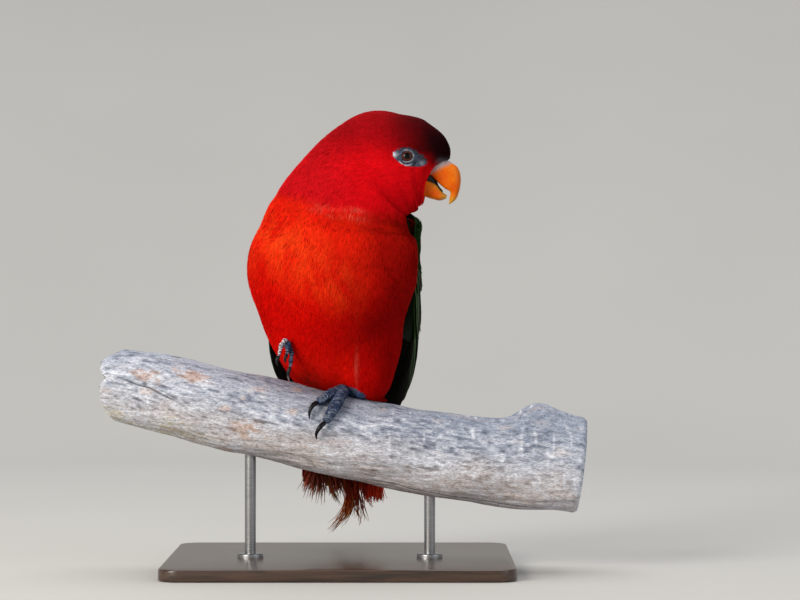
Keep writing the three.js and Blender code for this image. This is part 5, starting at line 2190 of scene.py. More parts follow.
@dataclass
class Eye:
    """An eyeball with its lids and the bare skin round it, on one side of the head."""

    side: int  # -1 is the bird's right, which faces the camera
    node_name: str
    patch: tuple[float, float, float, float, float]
    at: float = 11.0
    aim: tuple[float, float, float] = (0.1, 0.0, 0.06)
    sunk: float = 3.4
    pupil: float = 25.0  # degrees from the middle of its gaze
    iris: float = 41.0
    lid: tuple[float, float] = (3.75, 0.6)

    def measured(self) -> tuple[Array, float, Array]:
        """Middle, radius and gaze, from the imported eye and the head's own sections.

        Returns:
            All three.
        """
        low, high = (np.array(corner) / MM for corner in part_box(self.node_name))
        back = Body().frame(np.array(self.at))[2]
        return (low + high) / 2, float((high - low).max() / 2), unit(back * self.side + np.array(self.aim))

    def turned(self, gaze: Array) -> Array:
        """Matrix whose third column is the gaze and second one is near to upright."""
        right = unit(np.cross([0, 0, 1], gaze))
        return np.stack([right, np.cross(gaze, right), gaze], 1)

    def ball(self) -> Hued:
        """Eyeball with a bulging cornea, black pupil and red-brown iris.

        Returns:
            The piece and its colours.
        """
        middle, radius, gaze = self.measured()
        turn = self.turned(gaze)

        def place(u: Array, v: Array) -> Array:
            """Points of the ball with its cornea.

            Args:
                u: share of the way round.
                v: share of the way along.

            Returns:
                The points.
            """
            off, round_ = np.pi * v, math.tau * u
            away = np.stack([np.sin(off) * np.cos(round_), np.sin(off) * np.sin(round_), np.cos(off)], 1)
            bulge = radius * (0.985 + 0.05 * np.exp(-((off / 0.6) ** 4)))
            return middle + (away * bulge[:, None]) @ turn.T

        piece, u, v = from_sphere(self.node_name.replace("eye", "eyeball"), 96, 128, place)
        off = np.degrees(np.pi * v)
        rays = noise(np.stack([np.cos(math.tau * u) * 9, np.sin(math.tau * u) * 9, off / 14], 1), 1.0, 2)
        iris = mixed(srgb("#34130c"), srgb("#6a3024"), np.clip(0.5 + 0.6 * rays, 0, 1))
        hue = mixed(srgb("#020202"), iris, smooth(off, self.pupil - 1.2, self.pupil + 1.2))
        hue = mixed(hue, srgb("#1a0c08"), smooth(off, self.iris - 5, self.iris + 1))
        return piece, mixed(hue, srgb("#8c8078"), smooth(off, self.iris + 3, self.iris + 8))

    def lids(self) -> Hued:
        """Ring of fleshy lids, beaded along its rim and heavier above.

        Returns:
            The piece and its colours.
        """
        middle, _, gaze = self.measured()
        major, minor = self.lid
        nothing_selected()
        bpy.ops.mesh.primitive_torus_add(major_radius=major * MM, minor_radius=minor * MM,
                                         major_segments=120, minor_segments=24)
        piece = bpy.context.active_object
        points = coordinates(piece)
        round_ = np.arctan2(points[:, 1], points[:, 0])
        core = np.stack([np.cos(round_), np.sin(round_), 0 * round_], 1) * major
        beads = 1 + 0.10 * np.cos(34 * round_) + 0.3 * bump(np.sin(round_), 1, 0.5)
        points = core + (points - core) * beads[:, None]
        points = points * [1.12, 0.94, 1.0] + np.array([0, 0, self.sunk - 0.05])
        points[:, 2] -= 0.045 * points[:, 0] ** 2
        rim = smooth(np.hypot(points[:, 0] / 1.12, points[:, 1] / 0.94), major - 0.5, major + 0.5)
        reshaped(piece, middle + points @ self.turned(gaze).T)
        piece.name = piece.data.name = self.node_name.replace("eye", "eyelids")
        chosen(piece)
        bpy.ops.object.shade_smooth()
        hue = mixed(srgb("#7e8088"), srgb("#3c424e"), rim)
        return piece, hue * (1 + 0.6 * noise(coordinates(piece), 1.4, 5))[:, None]

    def bare_skin(self, skin: Piece) -> Hued:
        """Blue-grey wrinkled skin in a pointed oval round the lids.

        Args:
            skin: the skin under the feathers.

        Returns:
            The piece and its colours.
        """
        middle, _, _ = self.measured()
        x0, z0, long, high, tilt = self.patch
        round_ = np.linspace(0, math.tau, 121)[:-1]
        share = np.linspace(0, 1, 22)
        lid = np.stack([middle[0] + 3.6 * np.cos(round_), middle[2] + 3.1 * np.sin(round_)], 1)
        c, n = np.cos(round_), np.sin(round_)
        a, b = np.sign(c) * np.abs(c) ** 1.5 * long * 1.1, np.sign(n) * np.abs(n) ** 1.05 * high * 1.12
        lean = math.radians(tilt)
        rim = np.stack([x0 + a * math.cos(lean) - b * math.sin(lean),
                        z0 + a * math.sin(lean) + b * math.cos(lean)], 1)
        flat = lid[None] * (1 - share[:, None, None]) + rim[None] * share[:, None, None]
        deep = np.zeros(flat.shape[:2])
        for index in np.ndindex(deep.shape):
            x, z = flat[index]
            start = Vector((x * MM, self.side * 0.1, z * MM))
            hit, place, _, _ = skin.ray_cast(start, Vector((0, -self.side, 0)))
            deep[index] = place.y / MM if hit else middle[1]
        front = np.stack([flat[..., 0], deep, flat[..., 1]], -1)
        ripple = 0.16 * noise(np.stack([share[:, None] * 9 + 0 * flat[..., 0], flat[..., 0] / 2.6,
                                        flat[..., 1] / 2.6], -1), 1.0, 7)
        rise = 0.55 + ripple - 0.5 * share[:, None] ** 3 + 0.35 * (1 - smooth(share[:, None], 0, 0.35))
        outwards = np.array([0, self.side, 0])
        rings = np.concatenate([front + outwards * rise[..., None], (front - outwards * 0.8)[::-1]])
        wheel = np.concatenate([rings, rings[:1]])
        faces = grid_faces(len(wheel), len(round_), True)
        count = rings.shape[0] * rings.shape[1]
        faces = np.where(faces >= count, faces - count, faces)
        shape = outward(Shape(rings.reshape(-1, 3), faces))
        piece = shape.made(self.node_name.replace("eye", "eye_skin"))
        x, z = shape.points[:, 0], shape.points[:, 2]
        away = np.hypot(x - middle[0], z - middle[2])
        fine = noise(shape.points, 0.9, 11)
        hue = mixed(srgb("#1c1e28"), srgb("#566078"), np.clip(0.3 + 0.7 * fine, 0, 1))
        pale = srgb("#d6d9dc")
        # Painted highlight: a pale crescent under the lower lid
        below = bump(away, 5.1, 0.35) * smooth(middle[2] - z, 2.0, 3.5) * smooth(3.5 - x + middle[0], 0, 1.5)
        hue = mixed(hue, pale, 0.8 * below + 0.95 * bump(np.hypot(x - 30.9, (z - 239.0) / 0.8), 0, 1.9))
        brow = smooth(0.5 * (x - middle[0]) + 0.86 * (z - middle[2]), 2.6, 5.2)
        hue = mixed(hue, srgb("#180c14"), 0.75 * brow)
        return piece, mixed(hue, pale, 0.35 * bump(np.hypot(x - 47.4, z - 234.4), 0, 1.3))

    def build(self, wet: Material, soft: Material, skin: Piece) -> None:
        """Builds the eye.

        Args:
            wet: finish of the eyeball.
            soft: finish of the bare skin.
            skin: the skin under the feathers.
        """
        piece, hue = self.ball()
        dressed(piece, wet, (self.node_name,), hue)
        for piece, hue in (self.lids(), self.bare_skin(skin)):
            dressed(piece, soft, hue=hue)


# Feet and claws

@dataclass(frozen=True)
class ToeStation:
    """A place on the bark: distance along the branch, turn round it from its top, and the toe's radius."""

    x: float
    turn: float
    r: float


@dataclass
class Feet:
    """A standing foot wrapped round the branch and one tucked up in the flank's feathers."""

    branch: Branch
    air: float = 0.35  # between a toe and the bark
    standing: dict[int, tuple[ToeStation, ...]] = field(default_factory=lambda: {
        1: (ToeStation(7, 6, 2.6), ToeStation(5, -18, 2.9), ToeStation(2, -38, 2.8), ToeStation(-1, -54, 2.4)),
        2: (ToeStation(3, -8, 2.6), ToeStation(-3.7, 11, 3), ToeStation(-9.8, 32, 3),
            ToeStation(-16.4, 51, 2.6)),
        3: (ToeStation(-1.5, 0, 2.9), ToeStation(-3.2, 24, 3.4), ToeStation(-5.4, 48, 3.4),
            ToeStation(-9.4, 75, 2.8)),
        4: (ToeStation(9, 6, 3), ToeStation(11, -22, 3.4), ToeStation(13, -50, 3.2), ToeStation(14, -74, 2.7)),
    })
    tucked: dict[int, Limb] = field(default_factory=lambda: {
        2: Limb(((-29.4, -20, 131), (-29.2, -24.5, 131.8), (-29.4, -25.5, 128.5), (-29.6, -25, 125.5)),
                (1.3, 1.3, 1.1, 0.9)),
        3: Limb(((-29.5, -20, 131.5), (-30.8, -25.5, 133), (-33, -27, 130), (-34.2, -26.5, 124.3)),
                (1.3, 1.4, 1.25, 1.0)),
        4: Limb(((-28.5, -18, 129.5), (-27.2, -22.5, 126), (-27.6, -23.5, 121.5), (-27.9, -23.5, 118)),
                (1.2, 1.3, 1.2, 1.0)),
    })
    palm: Limb = Limb(((-25, -11, 125), (-28.5, -16, 130), (-29.6, -20.5, 131)), (3, 3, 2))
    claw_radii: tuple[float, ...] = (1.4, 1.4, 1.15, 0.7, 0.12)
    slide: dict[int, float] = field(default_factory=lambda: {1: -2.5, 2: -2.9, 3: -3.4, 4: 1.5})
    swing: float = 25.0
    arch: float = 2.6
    tip: float = 0.6
    drop: dict[int, float] = field(default_factory=lambda: {2: 5.5, 3: 5.5, 4: 8.0})  # of each tucked claw
    slim: float = 0.75  # how thick the tucked claws are, a share of the others
    scute: float = 1.25  # millimetres between the plates across a toe
    dark: str = "#11151d"
    plate: str = "#32466a"
    pale: str = "#8d97a6"
    # wet: painted highlight along the top of the tucked toe's arch
    wet: str = "#eadcdc"  # the pale upper face of the tucked foot

    def on_bark(self, stations: Sequence[ToeStation]) -> Limb:
        """A toe's form from its places on the bark."""
        points = [self.branch.place(s.x, s.turn, s.r + self.air) for s in stations]
        return Limb(points, [s.r for s in stations])

    def scaled(self, name: str, limb: Limb, above: Array | None = None,
               light: float = 0.15) -> Hued:
        """A limb with overlapping plates above and small round scales below.

        Args:
            name: the piece's name.
            limb: its form.
            above: direction that its upper face looks; without one it looks away from the branch.
            light: share of pale flecks on its upper face; above one half, a painted highlight in the wet colour
                along the top instead.

        Returns:
            The piece and its tints.
        """
        line = np.array(limb.line)
        length = np.linalg.norm(np.diff(line, axis=0), axis=1).sum()

        def relief(point: Array, normal: Array, v: Array) -> tuple[Array, Array]:
            """Height of the plates on top and of the beads beside them.

            Args:
                point: places in millimetres.
                normal: outward directions.
                v: share of the way along.

            Returns:
                The height, and how much each place faces up.
            """
            z = self.branch.middle(point[:, 0])[0]
            out = unit(point - np.stack([point[:, 0], 0 * z, z], 1)) if above is None else unit(above)
            top = smooth((normal * out).sum(1), -0.2, 0.6)
            phase = (v * length / self.scute + 0.8 * noise(point, 1.8, 15)) % 1.0
            plates = phase ** 0.6 * (1 - smooth(phase, 0.8, 1.0))
            beads = 0.5 + 0.5 * noise(point, 0.8, 12)
            return lerp(beads, 0.65 * plates + 0.35 * beads, top), top

        def place(u: Array, v: Array) -> Array:
            """Points of the limb with its scales.

            Args:
                u: share of the way round.
                v: share of the way along.

            Returns:
                The points.
            """
            base = limb.place(v, 360 * u)
            middle = spline(line, v * (len(line) - 1))
            lump = relief(base, unit(base - middle), v)[0]
            joint = 0.25 * np.cos(math.tau * v * 3) * np.sin(np.pi * v)
            height = (0.42 * (lump - 0.6) + joint) * np.minimum(1, np.sin(np.pi * v) / 0.2)
            return limb.place(v, 360 * u, height)

        piece, u, v = from_sphere(name, 44, 120, place)
        point = coordinates(piece)
        lump, top = relief(point, unit(limb.place(v, 360 * u) - spline(line, v * (len(line) - 1))), v)
        # Plates lighter than the grooves, pale flecks on the upper face: partly the skin's own paler scale edges,
        # partly painted highlight on the ridges and painted shade in the grooves
        hue = mixed(srgb(self.dark), srgb(self.plate), smooth(lump, 0.2, 0.9))
        flecks = np.clip(light + 0.4 * smooth(v, 0.7, 0.9) + 0.8 * noise(point, 1.3, 16) * (light < 0.5), 0, 1)
        # Above one half: a painted highlight along the top of the tucked toe's arch
        if light > 0.5:
            flecks = flecks * smooth(point[:, 2] - 0.8 * (point[:, 0] + 32), 124, 129)
        pale = srgb(self.wet if light > 0.5 else self.pale)
        return piece, mixed(hue, pale, flecks * top * smooth(lump, 0.3, 0.8))

    def claw(self, name: str, points: Array, tip: str, scale: float) -> Hued:
        """A curved black claw along a line of points, paler towards its tip.

        Args:
            name: the piece's name.
            points: its middle line.
            tip: colour of its tip.
            scale: its size.

        Returns:
            The piece and its colours.
        """
        limb = Limb(points, scale * np.array(self.claw_radii))
        piece, _, v = from_sphere(name, 28, 48, lambda u, v: limb.place(v, 360 * u))
        hue = mixed(srgb("#06070c"), srgb(tip), smooth(v, 0.5, 1.0) * 0.7)
        return piece, hue

    def perch_claw(self, toe: int) -> Array:
        """Points of the claw of a standing toe.

        Args:
            toe: the toe's sizes.

        Returns:
            The points.
        """
        end = self.standing[toe][-1]
        f = np.array([0, 0.3, 0.65, 1])
        swing = np.sign(end.turn) * self.swing
        lift = self.air + lerp(end.r, self.tip, f) + self.arch * np.sin(np.pi * f ** 0.8)
        return self.branch.place(end.x + self.slide[toe] * np.sin(2.4 * f), end.turn + swing * f, lift)

    def tucked_claw(self, toe: int) -> Array:
        """Points of the claw of a tucked toe.

        Args:
            toe: the toe's sizes.

        Returns:
            The points.
        """
        x, y, z = self.tucked[toe].line[-1]
        f = np.array([0, 0.35, 0.7, 1])
        y = y - 1.6 * np.sin(2.4 * f) + 1.5 * f
        return np.stack([x - 1.2 * np.sin(2.6 * f), y, z - self.drop[toe] * f], 1)

    def build(self, scales: Material, horn: Material) -> None:
        """Builds both feet and their claws.

        Args:
            scales: finish of the scaly skin.
            horn: the horn's finish.
        """
        ahead = np.array([-0.35, -1.0, 0.5])
        shank_line = [*self.branch.place(np.array([3.0, 7.5]), 0.0, np.array([3.7, 4.3])), (15, 2.5, 104),
                      (18, 4, 112)]
        shank = Limb(shank_line, (3.2, 3.8, 3.4, 3.2))
        left = [self.scaled("toe", self.on_bark(stations)) for stations in self.standing.values()]
        left.append(self.scaled("shank", shank, np.array([-0.3, -1.0, 0.6])))
        sole = self.branch.place(*np.array([[-1.0, 5.0, 11.5], [6.0, 12.0, 10.0], [3.4, 3.8, 3.0]]))
        left.append(self.scaled("palm", Limb(sole, (3.2, 4.0, 3.0)), None, -0.5))
        # Toe 3 gets the painted highlight along its arch
        light = {2: 0.2, 3: 0.85, 4: 0.1}
        right = [self.scaled("toe", limb, ahead, light[toe]) for toe, limb in self.tucked.items()]
        right.append(self.scaled("palm", self.palm, ahead, 0.3))
        for side, parts in (("left", left), ("right", right)):
            for piece, hue in parts:
                tinted(piece.data, hue)
            nothing_selected()
            for piece, _ in parts:
                piece.select_set(True)
            bpy.context.view_layer.objects.active = parts[0][0]
            bpy.ops.object.join()
            foot = bpy.context.active_object
            foot.name = foot.data.name = "foot_" + side + "_scaled"
            dressed(foot, scales, ("foot_" + side,))
        claws = [("claw_left_%d" % toe, self.perch_claw(toe), "#22242c", 1.0) for toe in self.standing]
        claws += [("claw_right_%d" % toe, self.tucked_claw(toe), "#d8b4b4" if toe == 4 else "#3a3430",
                   self.slim)
                  for toe in self.tucked]
        for name, points, tip, scale in claws:
            piece, hue = self.claw(name + "_horn", points, tip, scale)
            dressed(piece, horn, (name,), hue)


# Branch and display stand

@dataclass(frozen=True)
class BarkFinish(Grained):
    """Bare wood weathered silvery: dry and matt, with fine raised fibres along its length."""

    # Width of a fibre; real ones are 0.1 to 0.3, drawn as fine as they show
    grain: tuple[float, float, float] = (1.9, 0.55, 0.55)
    lean: float = 12.0  # the branch's slope
    texture: tuple[float, float, float] = (6.0, 0.7, 0.5)
    ends: tuple[float, float] = (0.38, 0.6)
    levels: tuple[float, float] = (0.5, 1.24)
    strength: float = 0.8
    relief: float = 0.3


@dataclass(frozen=True)
class WoodFinish(Grained):
    """Dark stained hardwood under satin varnish: soft gloss over straight grain along the base."""

    grain: tuple[float, float, float] = (50.3, 2.286, 2.286)
    texture: tuple[float, float, float] = (6.0, 0.5, 1.2)
    ends: tuple[float, float] = (0.32, 0.62)
    tones: tuple[str, ...] = ("#24170f", "#4a3222")
    strength: float = 0.25
    relief: float = 0.05


@dataclass(frozen=True)
class SteelFinish(Grained):
    """Brushed stainless steel rod: grey metal, its gloss broken by fine rings left by the brush."""

    # A ring each 0.5 mm; real brush lines are about 0.05, drawn coarser so that they show
    grain: tuple[float, float, float] = (16.67, 16.67, 0.5)
    texture: tuple[float, float, float] = (2.0, 0.5, 0.0)
    ends: tuple[float, float] = (0.3, 0.7)
    tones: tuple[str, ...] = ("#858688", "#9a9b9d")
    gloss: tuple[float, ...] = (0.24, 0.42)


@dataclass
class Perch:
    """A short cut length of weathered branch, broken at its thin end and sawn at the thick one."""

    branch: Branch
    # top: painted shade on the branch's top; low: its underside, lighter with painted light
    top: str = "#868e9e"
    white: str = "#eceef4"
    line: str = "#474548"
    low: str = "#d6c8c0"
    cream: str = "#e8d6b0"
    tan: str = "#c4946c"
    sawn: str = "#b79c7c"
    patches: tuple[tuple[float, float], ...] = ((-110, 113.5), (-83, 112), (-54, 84))  # bare tan wood: x and z
    # Cracks: start and end along X, turn at both in degrees, and depth
    cracks: tuple[tuple[float, float, float, float, float], ...] = (
        (-131, -88, 72, 96, 0.9), (-120, -20, 28, 20, 0.5), (20, 120, 150, 158, 0.8), (-100, 40, 250, 240, 0.9),
        (-70, -46, 100, 97, 0.4), (-30, 60, 330, 338, 0.8),
    )
    # Broken end: turn, and how far its edge is from the branch's own end
    torn: tuple[tuple[float, float], ...] = (
        (0, 7), (21, 4.5), (35, 1.2), (50, -0.6), (64, -0.7), (72, 0.1), (80, 2.7), (92, 0.1), (100, -0.5),
        (120, 0.5), (130, 2), (156, 5.6), (180, 10), (215, 5), (250, 1.5), (290, 3), (330, 5),
    )

    def crack(self, x: Array, turn: Array) -> Array:
        """Depth of the cracks at places on the bark.

        Args:
            x: millimetres along the branch.
            turn: degrees round it.

        Returns:
            0 to 1 at each place.
        """
        total = 0 * x
        for start, end, turn_a, turn_b, depth in self.cracks:
            f = np.clip((x - start) / (end - start), 0, 1)
            course = lerp(turn_a, turn_b, f) + 2.2 * noise(np.stack([x, 0 * x + turn_a, 0 * x], -1), 9, 3)
            away = (((turn - course) + 180) % 360 - 180) * 0.4
            ends = smooth(x, start, start + 12) * (1 - smooth(x, end - 12, end))
            total = total + depth * ends * np.exp(-((away / 0.42) ** 2))
        return total

    def surface(self, x: Array, turn: Array) -> Array:
        """Height of the weathered wood over the branch's plain form.

        Args:
            x: millimetres along the branch.
            turn: degrees round it.

        Returns:
            Millimetres.
        """
        round_ = self.branch.place(x, turn)
        long = round_ * np.array([0.07, 1.0, 1.0])
        fibres = 0.22 * noise(long, 1.1, 1) + 0.28 * noise(long, 2.6, 2)
        lumps = 0.5 * noise(round_ * np.array([0.35, 1, 1]), 9, 4)
        knot = np.hypot((x - 114) / 1.3, (((turn - 22) + 180) % 360 - 180) * 0.42)
        swirl = 0.5 * np.cos(knot * 1.7) * np.exp(-((knot / 9) ** 2))
        return fibres + lumps + swirl - self.crack(x, turn)

    def piece(self) -> Hued:
        """The branch as one closed form with both its ends.

        Returns:
            The piece and its colours.
        """
        branch = self.branch
        left_end, right_end = 0.055, 0.945

        def split(u: Array, v: Array) -> tuple[Array, Array, Array]:
            """Where the sphere's points lie on the branch.

            Args:
                u: share of the way round.
                v: share of the way along.

            Returns:
                Places along the branch, turns and shares of the bark's length.
            """
            turn = 360 * u
            ragged = np.interp(turn, *np.array(self.torn).T, period=360)
            ring = np.stack([np.cos(math.tau * u) * 6, np.sin(math.tau * u) * 6, 0 * u], 1)
            splinter = 0.6 * noise(ring, 1.0, 8)
            inner = np.clip((v - left_end) / (right_end - left_end), 0, 1)
            edge = (ragged + splinter) * (1 - smooth(inner, 0, 0.05))
            return lerp(branch.left, branch.right, inner) + edge, turn, inner

        def place(u: Array, v: Array) -> Array:
            """Points of the branch with its weathered relief.

            Args:
                u: share of the way round.
                v: share of the way along.

            Returns:
                The points.
            """
            x, turn, inner = split(u, v)
            out = branch.place(x, turn, self.surface(x, turn) - 1.2 * smooth(inner, 0.992, 1.0)
                               - 1.0 * (1 - smooth(inner, 0, 0.012)))
            z, _ = branch.middle(x)
            middle = np.stack([x, 0 * x, z], 1)
            share = np.minimum(1, np.minimum(v / left_end, (1 - v) / (1 - right_end)))
            point = middle + (out - middle) * share[:, None]
            flat = point * [0, 1, 1]
            hollow = noise(flat, 3.0, 5) * 1.6 + noise(flat, 1.1, 6)
            cleft = 5.0 * bump((point[:, 2] - 112) / 1.4 + 0.3 * point[:, 1], 0, 1.0) * (point[:, 1] < 2)
            rim = smooth(1 - share, 0, 0.12)
            at_left = (v < left_end) * rim * (1.5 + hollow + cleft)
            point[:, 0] += at_left
            return point

        piece, u, v = from_sphere("perch_wood", 224, 420, place)
        x, turn, inner = split(u, v)
        point = coordinates(piece)
        run = np.stack([0.3 * x, point[:, 1], point[:, 2] - branch.middle(x)[0]], 1)
        fine, mid = noise(run, 1.1, 21), noise(run, 2.8, 22)
        broad = noise(point, 16, 23)
        upness = np.cos(np.radians(turn)) + 0.3 * broad
        # Painted shade and light: bluer and darker on the top, lighter towards the underside
        hue = mixed(srgb(self.low), srgb(self.top), smooth(upness, -0.75, 0.25))
        hue = mixed(hue, srgb(self.cream), smooth(-x, 40, 100) * (1 - smooth(upness, -0.85, -0.5)))
        drips = np.clip(2.2 * noise(point * [1, 0.3, 0.16], 2.0, 31) - 1.1, 0, 0.5) * smooth(x, 10, 40)
        white = 0.44 + 0.18 * mid + 0.6 * fine + 0.2 * broad + 0.14 * smooth(-x, 30, 120)
        # Painted shade: less weathered white on the top, and less again on the top of the thick end
        white = white - 0.16 * smooth(x, 20, 80) * smooth(upness, -0.3, 0.6)
        white = np.clip(white * (1 - 0.6 * smooth(upness, 0.3, 0.9)) + drips, 0, 1)
        hue = mixed(hue, srgb(self.white), 0.85 * white)
        warm = np.clip(2.2 * (noise(point * np.array([0.6, 1, 1]), 6, 25) + 0.3 * mid + 0.3 * fine - 0.5), 0, 1)
        warm = warm * (1 - 0.7 * smooth(x, 0, 50))
        for px, pz in self.patches:
            away = np.hypot((point[:, 0] - px) / 9, (point[:, 2] - pz + 0.23 * (point[:, 0] - px)) / 3.2)
            warm = warm + (1 - smooth(away + 0.7 * fine + 0.5 * mid, 0.4, 1.2)) * (point[:, 1] < 0)
        hue = mixed(hue, srgb(self.tan), 0.5 * np.clip(warm, 0, 1))
        dark = np.clip(1.7 * (-fine - 0.3) + 0.5 * (-mid - 0.4), 0, 1)
        hue = mixed(hue, srgb(self.line), dark * 0.55)
        hue = mixed(hue, srgb(self.line) * 0.5, np.clip(self.crack(x, turn) * 1.1, 0, 0.9))
        away = np.hypot(point[:, 1], point[:, 2] - branch.middle(x)[0])
        rings = 0.5 + 0.5 * np.cos(away * 1.5 + 1.2 * noise(point, 8, 2))
        checks = 0.7 * smooth(np.cos(np.radians(3 * turn) + 0.25 * away), 0.985, 1.0) * smooth(away, 3, 20)
        end_grain = srgb(self.sawn) * (0.72 + 0.28 * rings - checks)[:, None]
        hue = mixed(hue, end_grain, (v > right_end + 0.004) * 1.0)
        torn = srgb("#a89c90") * (0.8 + 0.35 * noise(point, 1.2, 9))[:, None]
        return piece, mixed(hue, torn, (v < left_end - 0.006) * 1.0)

    def build(self, bark: Material) -> None:
        """Builds the branch."""
        piece, hue = self.piece()
        dressed(piece, bark, ("perch",), np.clip(hue, 0, 1))


@dataclass
class Stand:
    """Plain base board and two steel rods up to the branch, each in a low collar."""

    branch: Branch
    corner: float = 12.0
    edge: float = 1.2
    radius: float = 3.2
    spread: float = 52.0
    collar: tuple[float, float] = (7.5, 2.4)  # radius and height

    def base(self) -> Piece:
        """Board with round corners and softened edges.

        Returns:
            The board.
        """
        low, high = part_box("stand_base")
        size, middle = high - low, (low + high) / 2
        nothing_selected()
        bpy.ops.mesh.primitive_cube_add(size=1, location=middle)
        piece = bpy.context.active_object
        piece.scale = size
        bpy.ops.object.transform_apply(location=False, rotation=False, scale=True)

        def upright(edge: bpy.types.MeshEdge) -> bool:
            """Whether an edge runs from the bottom to the top."""
            start, end = (piece.data.vertices[i].co.z for i in edge.vertices)
            return abs(start - end) > 0.5 * size.z

        marked(piece, "EDGE", upright)
        bpy.ops.mesh.bevel(offset=self.corner * MM, segments=10, affect="EDGES")
        bpy.ops.object.mode_set(mode="OBJECT")
        flat = {key for face in piece.data.polygons if abs(face.normal.z) > 0.9 for key in face.edge_keys}
        marked(piece, "EDGE", lambda edge: edge.key in flat)
        bpy.ops.mesh.bevel(offset=self.edge * MM, segments=4, affect="EDGES")
        bpy.ops.object.mode_set(mode="OBJECT")
        bpy.ops.object.shade_smooth_by_angle(angle=math.radians(35))
        return settled(piece, "stand_board")

    def rod(self, x: float, name: str) -> Piece:
        """Rod with its collar, turned in one piece.

        Args:
            x: millimetres across the base.
            name: the piece's name.

        Returns:
            The rod.
        """
        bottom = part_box("stand_base")[1].z / MM
        middle, reach = self.branch.middle(np.array([x]))
        top = float(middle[0] - reach[0] + 3)
        wide, high = self.collar
        nothing_selected()
        bpy.ops.mesh.primitive_cylinder_add(vertices=64, radius=wide * MM, depth=high * MM,
                                            location=(x * MM, 0, (bottom + high / 2) * MM))
        piece = bpy.context.active_object
        marked(piece, "FACE", lambda face: face.normal.z > 0.9)
        bpy.ops.mesh.bevel(offset=0.7 * MM, segments=4, affect="EDGES")
        marked(piece, "FACE", lambda face: face.normal.z > 0.9 and len(face.vertices) > 8)
        bpy.ops.mesh.inset(thickness=(wide - 0.7 - self.radius) * MM, depth=0)
        bpy.ops.mesh.extrude_region_move(TRANSFORM_OT_translate={"value": (0, 0, (top - bottom - high) * MM)})
        bpy.ops.object.mode_set(mode="OBJECT")
        bpy.ops.object.shade_smooth_by_angle(angle=math.radians(35))
        return settled(piece, name)

    def build(self, wood: Material, steel: Material) -> None:
        """Builds the stand.

        Args:
            wood: finish of the base.
            steel: finish of the rods.
        """
        dressed(self.base(), wood, ("stand_base",))
        for side, x in (("left", -self.spread), ("right", self.spread)):
            dressed(self.rod(x, "rod_" + side), steel, ("stand_rod_" + side,))


# Floor, light and camera

@dataclass(frozen=True)
class FloorFinish(Grained):
    """Matt pale paper sweep, with the faintest mottling."""

    name: str = "matt_paper_sweep"
    roughness: float = 0.95
    grain: tuple[float, float, float] = (333.3, 333.3, 333.3)
    texture: tuple[float, float, float] = (2.0, 0.5, 0.0)
    ends: tuple[float, float] = (0.3, 0.7)
    tones: tuple[str, ...] = ("#b9b7b2", "#bcbab5")


@dataclass
class Studio:
    """Pale floor, soft lights and a camera at the photograph's angle and framing."""

    distance: float = 1600.0
    middle: tuple[float, float] = (34.8, 156.3)  # what the frame's middle shows: x and z
    wide: float = 464.0  # millimetres that the frame shows at y = 0
    sensor: float = 36.0
    sweep: tuple[float, float, float] = (1.1, 5.0, 0.55)  # metres of flat floor and of reach, and its rise

    def camera(self) -> None:
        """Level view along +Y."""
        bpy.ops.object.camera_add(location=(self.middle[0] * MM, -self.distance * MM, self.middle[1] * MM),
                                  rotation=(math.pi / 2, 0, 0))
        camera = bpy.context.active_object
        camera.data.sensor_width = self.sensor
        camera.data.lens = self.sensor * self.distance / self.wide
        camera.data.clip_start, camera.data.clip_end = 0.05, 50
        bpy.context.scene.camera = camera

    def lamp(self, place: tuple[float, float, float], size: float, power: float, colour: str) -> None:
        """A square soft light that faces the bird.

        Args:
            place: where it is, in metres.
            size: its side in metres.
            power: watts.
            colour: as a hex value.
        """
        bpy.ops.object.light_add(type="AREA", location=place)
        light = bpy.context.active_object
        light.data.size, light.data.energy = size, power
        light.data.color = tuple(srgb(colour))
        aim = Vector((0.0, 0.0, 0.17)) - Vector(place)
        light.rotation_euler = aim.to_track_quat("-Z", "Y").to_euler()

    def floor(self) -> None:
        """A round paper sweep, flat under the stand and rising softly far from it on every side."""
        bpy.ops.mesh.primitive_grid_add(x_subdivisions=120, y_subdivisions=120, size=2 * self.sweep[1])
        sweep = bpy.context.active_object
        points = coordinates(sweep)
        far = np.maximum(0, np.hypot(points[:, 0], points[:, 1]) * MM - self.sweep[0])
        points[:, 2] = far ** 2 * self.sweep[2] / MM
        reshaped(sweep, points)
        bpy.ops.object.shade_smooth()
        sweep.name = sweep.data.name = "floor"
        sweep.data.materials.append(FloorFinish().made())
        sweep.visible_diffuse = sweep.visible_shadow = False

    def build(self) -> None:
        """Sets the stage."""
        nothing_selected()
        self.floor()
        self.lamp((-1.25, -1.4, 0.85), 0.9, 40, "#fff8f0")
        self.lamp((1.3, -0.9, 0.7), 1.2, 6, "#eef3ff")
        self.lamp((0.0, 0.7, 2.2), 2.0, 34, "#ffffff")
        world = bpy.data.worlds.new("studio_air")
        bpy.context.scene.world = world
        world.use_nodes = True
        shade = world.node_tree.nodes["Background"]
        shade.inputs["Color"].default_value = (*srgb("#dfe3e8"), 1)
        shade.inputs["Strength"].default_value = 0.5
        bpy.context.scene.view_settings.view_transform = "Standard"
        self.camera()


# The whole model


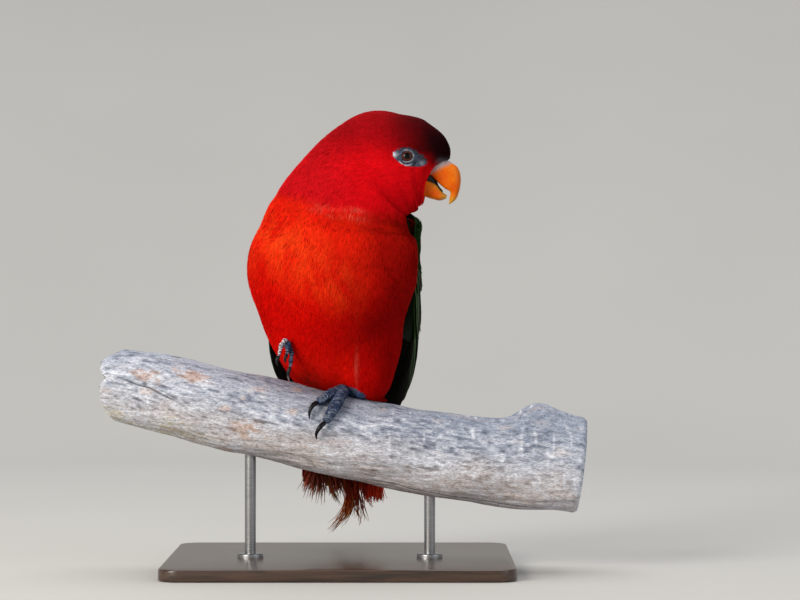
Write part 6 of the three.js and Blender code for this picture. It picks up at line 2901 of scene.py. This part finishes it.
def main() -> None:
    """Builds every piece in order, and the stage."""
    logging.basicConfig(level=logging.INFO, format="%(name)s %(message)s")
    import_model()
    nothing_selected()
    branch, wings = Branch(), (WingForm(1), WingForm(-1))
    # Keratin barbs: as matt as felt. The flat webs are smoother, with a satin gloss. The skin
    # between the feathers has none
    barbs = Plumage(name="contour_feather_keratin", roughness=0.8, specular=0.03).made()
    web = Vane(name="flight_feather_keratin", roughness=0.55, specular=0.14).made()
    skin = Tinted(name="feathered_skin", roughness=0.85, specular=0.03).made()
    # Each of these: the grain of its surface in millimetres, how much it mottles and how deep it is
    finishes = {
        # Keratin rubbed smooth by feeding: a soft gloss over faint growth lines
        "polished_bill_keratin": (0.6, 0.1, 0.03, {"roughness": 0.36, "specular": 0.16}),
        # Hard black keratin: glossy where it is not scratched
        "worn_claw_keratin": (0.4, 0.2, 0.05, {"roughness": 0.35, "specular": 0.25}),
        # Thin bare skin: slightly moist, wrinkled and a little translucent
        "bare_facial_skin": (0.35, 0.18, 0.06, {"roughness": 0.55, "specular": 0.35, "subsurface": 0.1,
                                                "strength": 0.7}),
        # A wet ball: one small sharp highlight
        "wet_eyeball": (0.5, 0.05, 0.0, {"roughness": 0.1, "specular": 0.18}),
        # Dry horny scales: dull, with pits between them
        "scaly_foot_skin": (0.4, 0.2, 0.06, {"roughness": 0.6, "specular": 0.2}),
    }
    horn, claw, soft, wet, scales = (
        Tinted(name=name, grain=(grain,) * 3, levels=(1 - mottle, 1 + mottle), relief=relief, **rest).made()
        for name, (grain, mottle, relief, rest) in finishes.items())
    coat = Coat(Body(), branch, wings, Markings())
    covered = coat.build(barbs, skin)
    Bill().build(horn, soft)
    for side, name in ((-1, "eye_right"), (1, "eye_left")):
        Eye(side, name, coat.eye_patch).build(wet, soft, covered)
    for n, (form, name) in enumerate(zip(wings, ("wing_left", "wing_right"))):
        Wing(form, name).build(web, barbs, 21 + n)
    Tail(TailForm()).build(web, barbs)
    Feet(branch).build(scales, claw)
    Perch(branch).build(BarkFinish(name="weathered_bare_branch", roughness=0.9, specular=0.2).made())
    Stand(branch).build(
        WoodFinish(name="varnished_hardwood", roughness=0.35, coat=0.3, coat_roughness=0.2).made(),
        SteelFinish(name="brushed_steel", roughness=0.3, metallic=1.0).made())
    Studio().build()


if __name__ == "__main__":
    main()
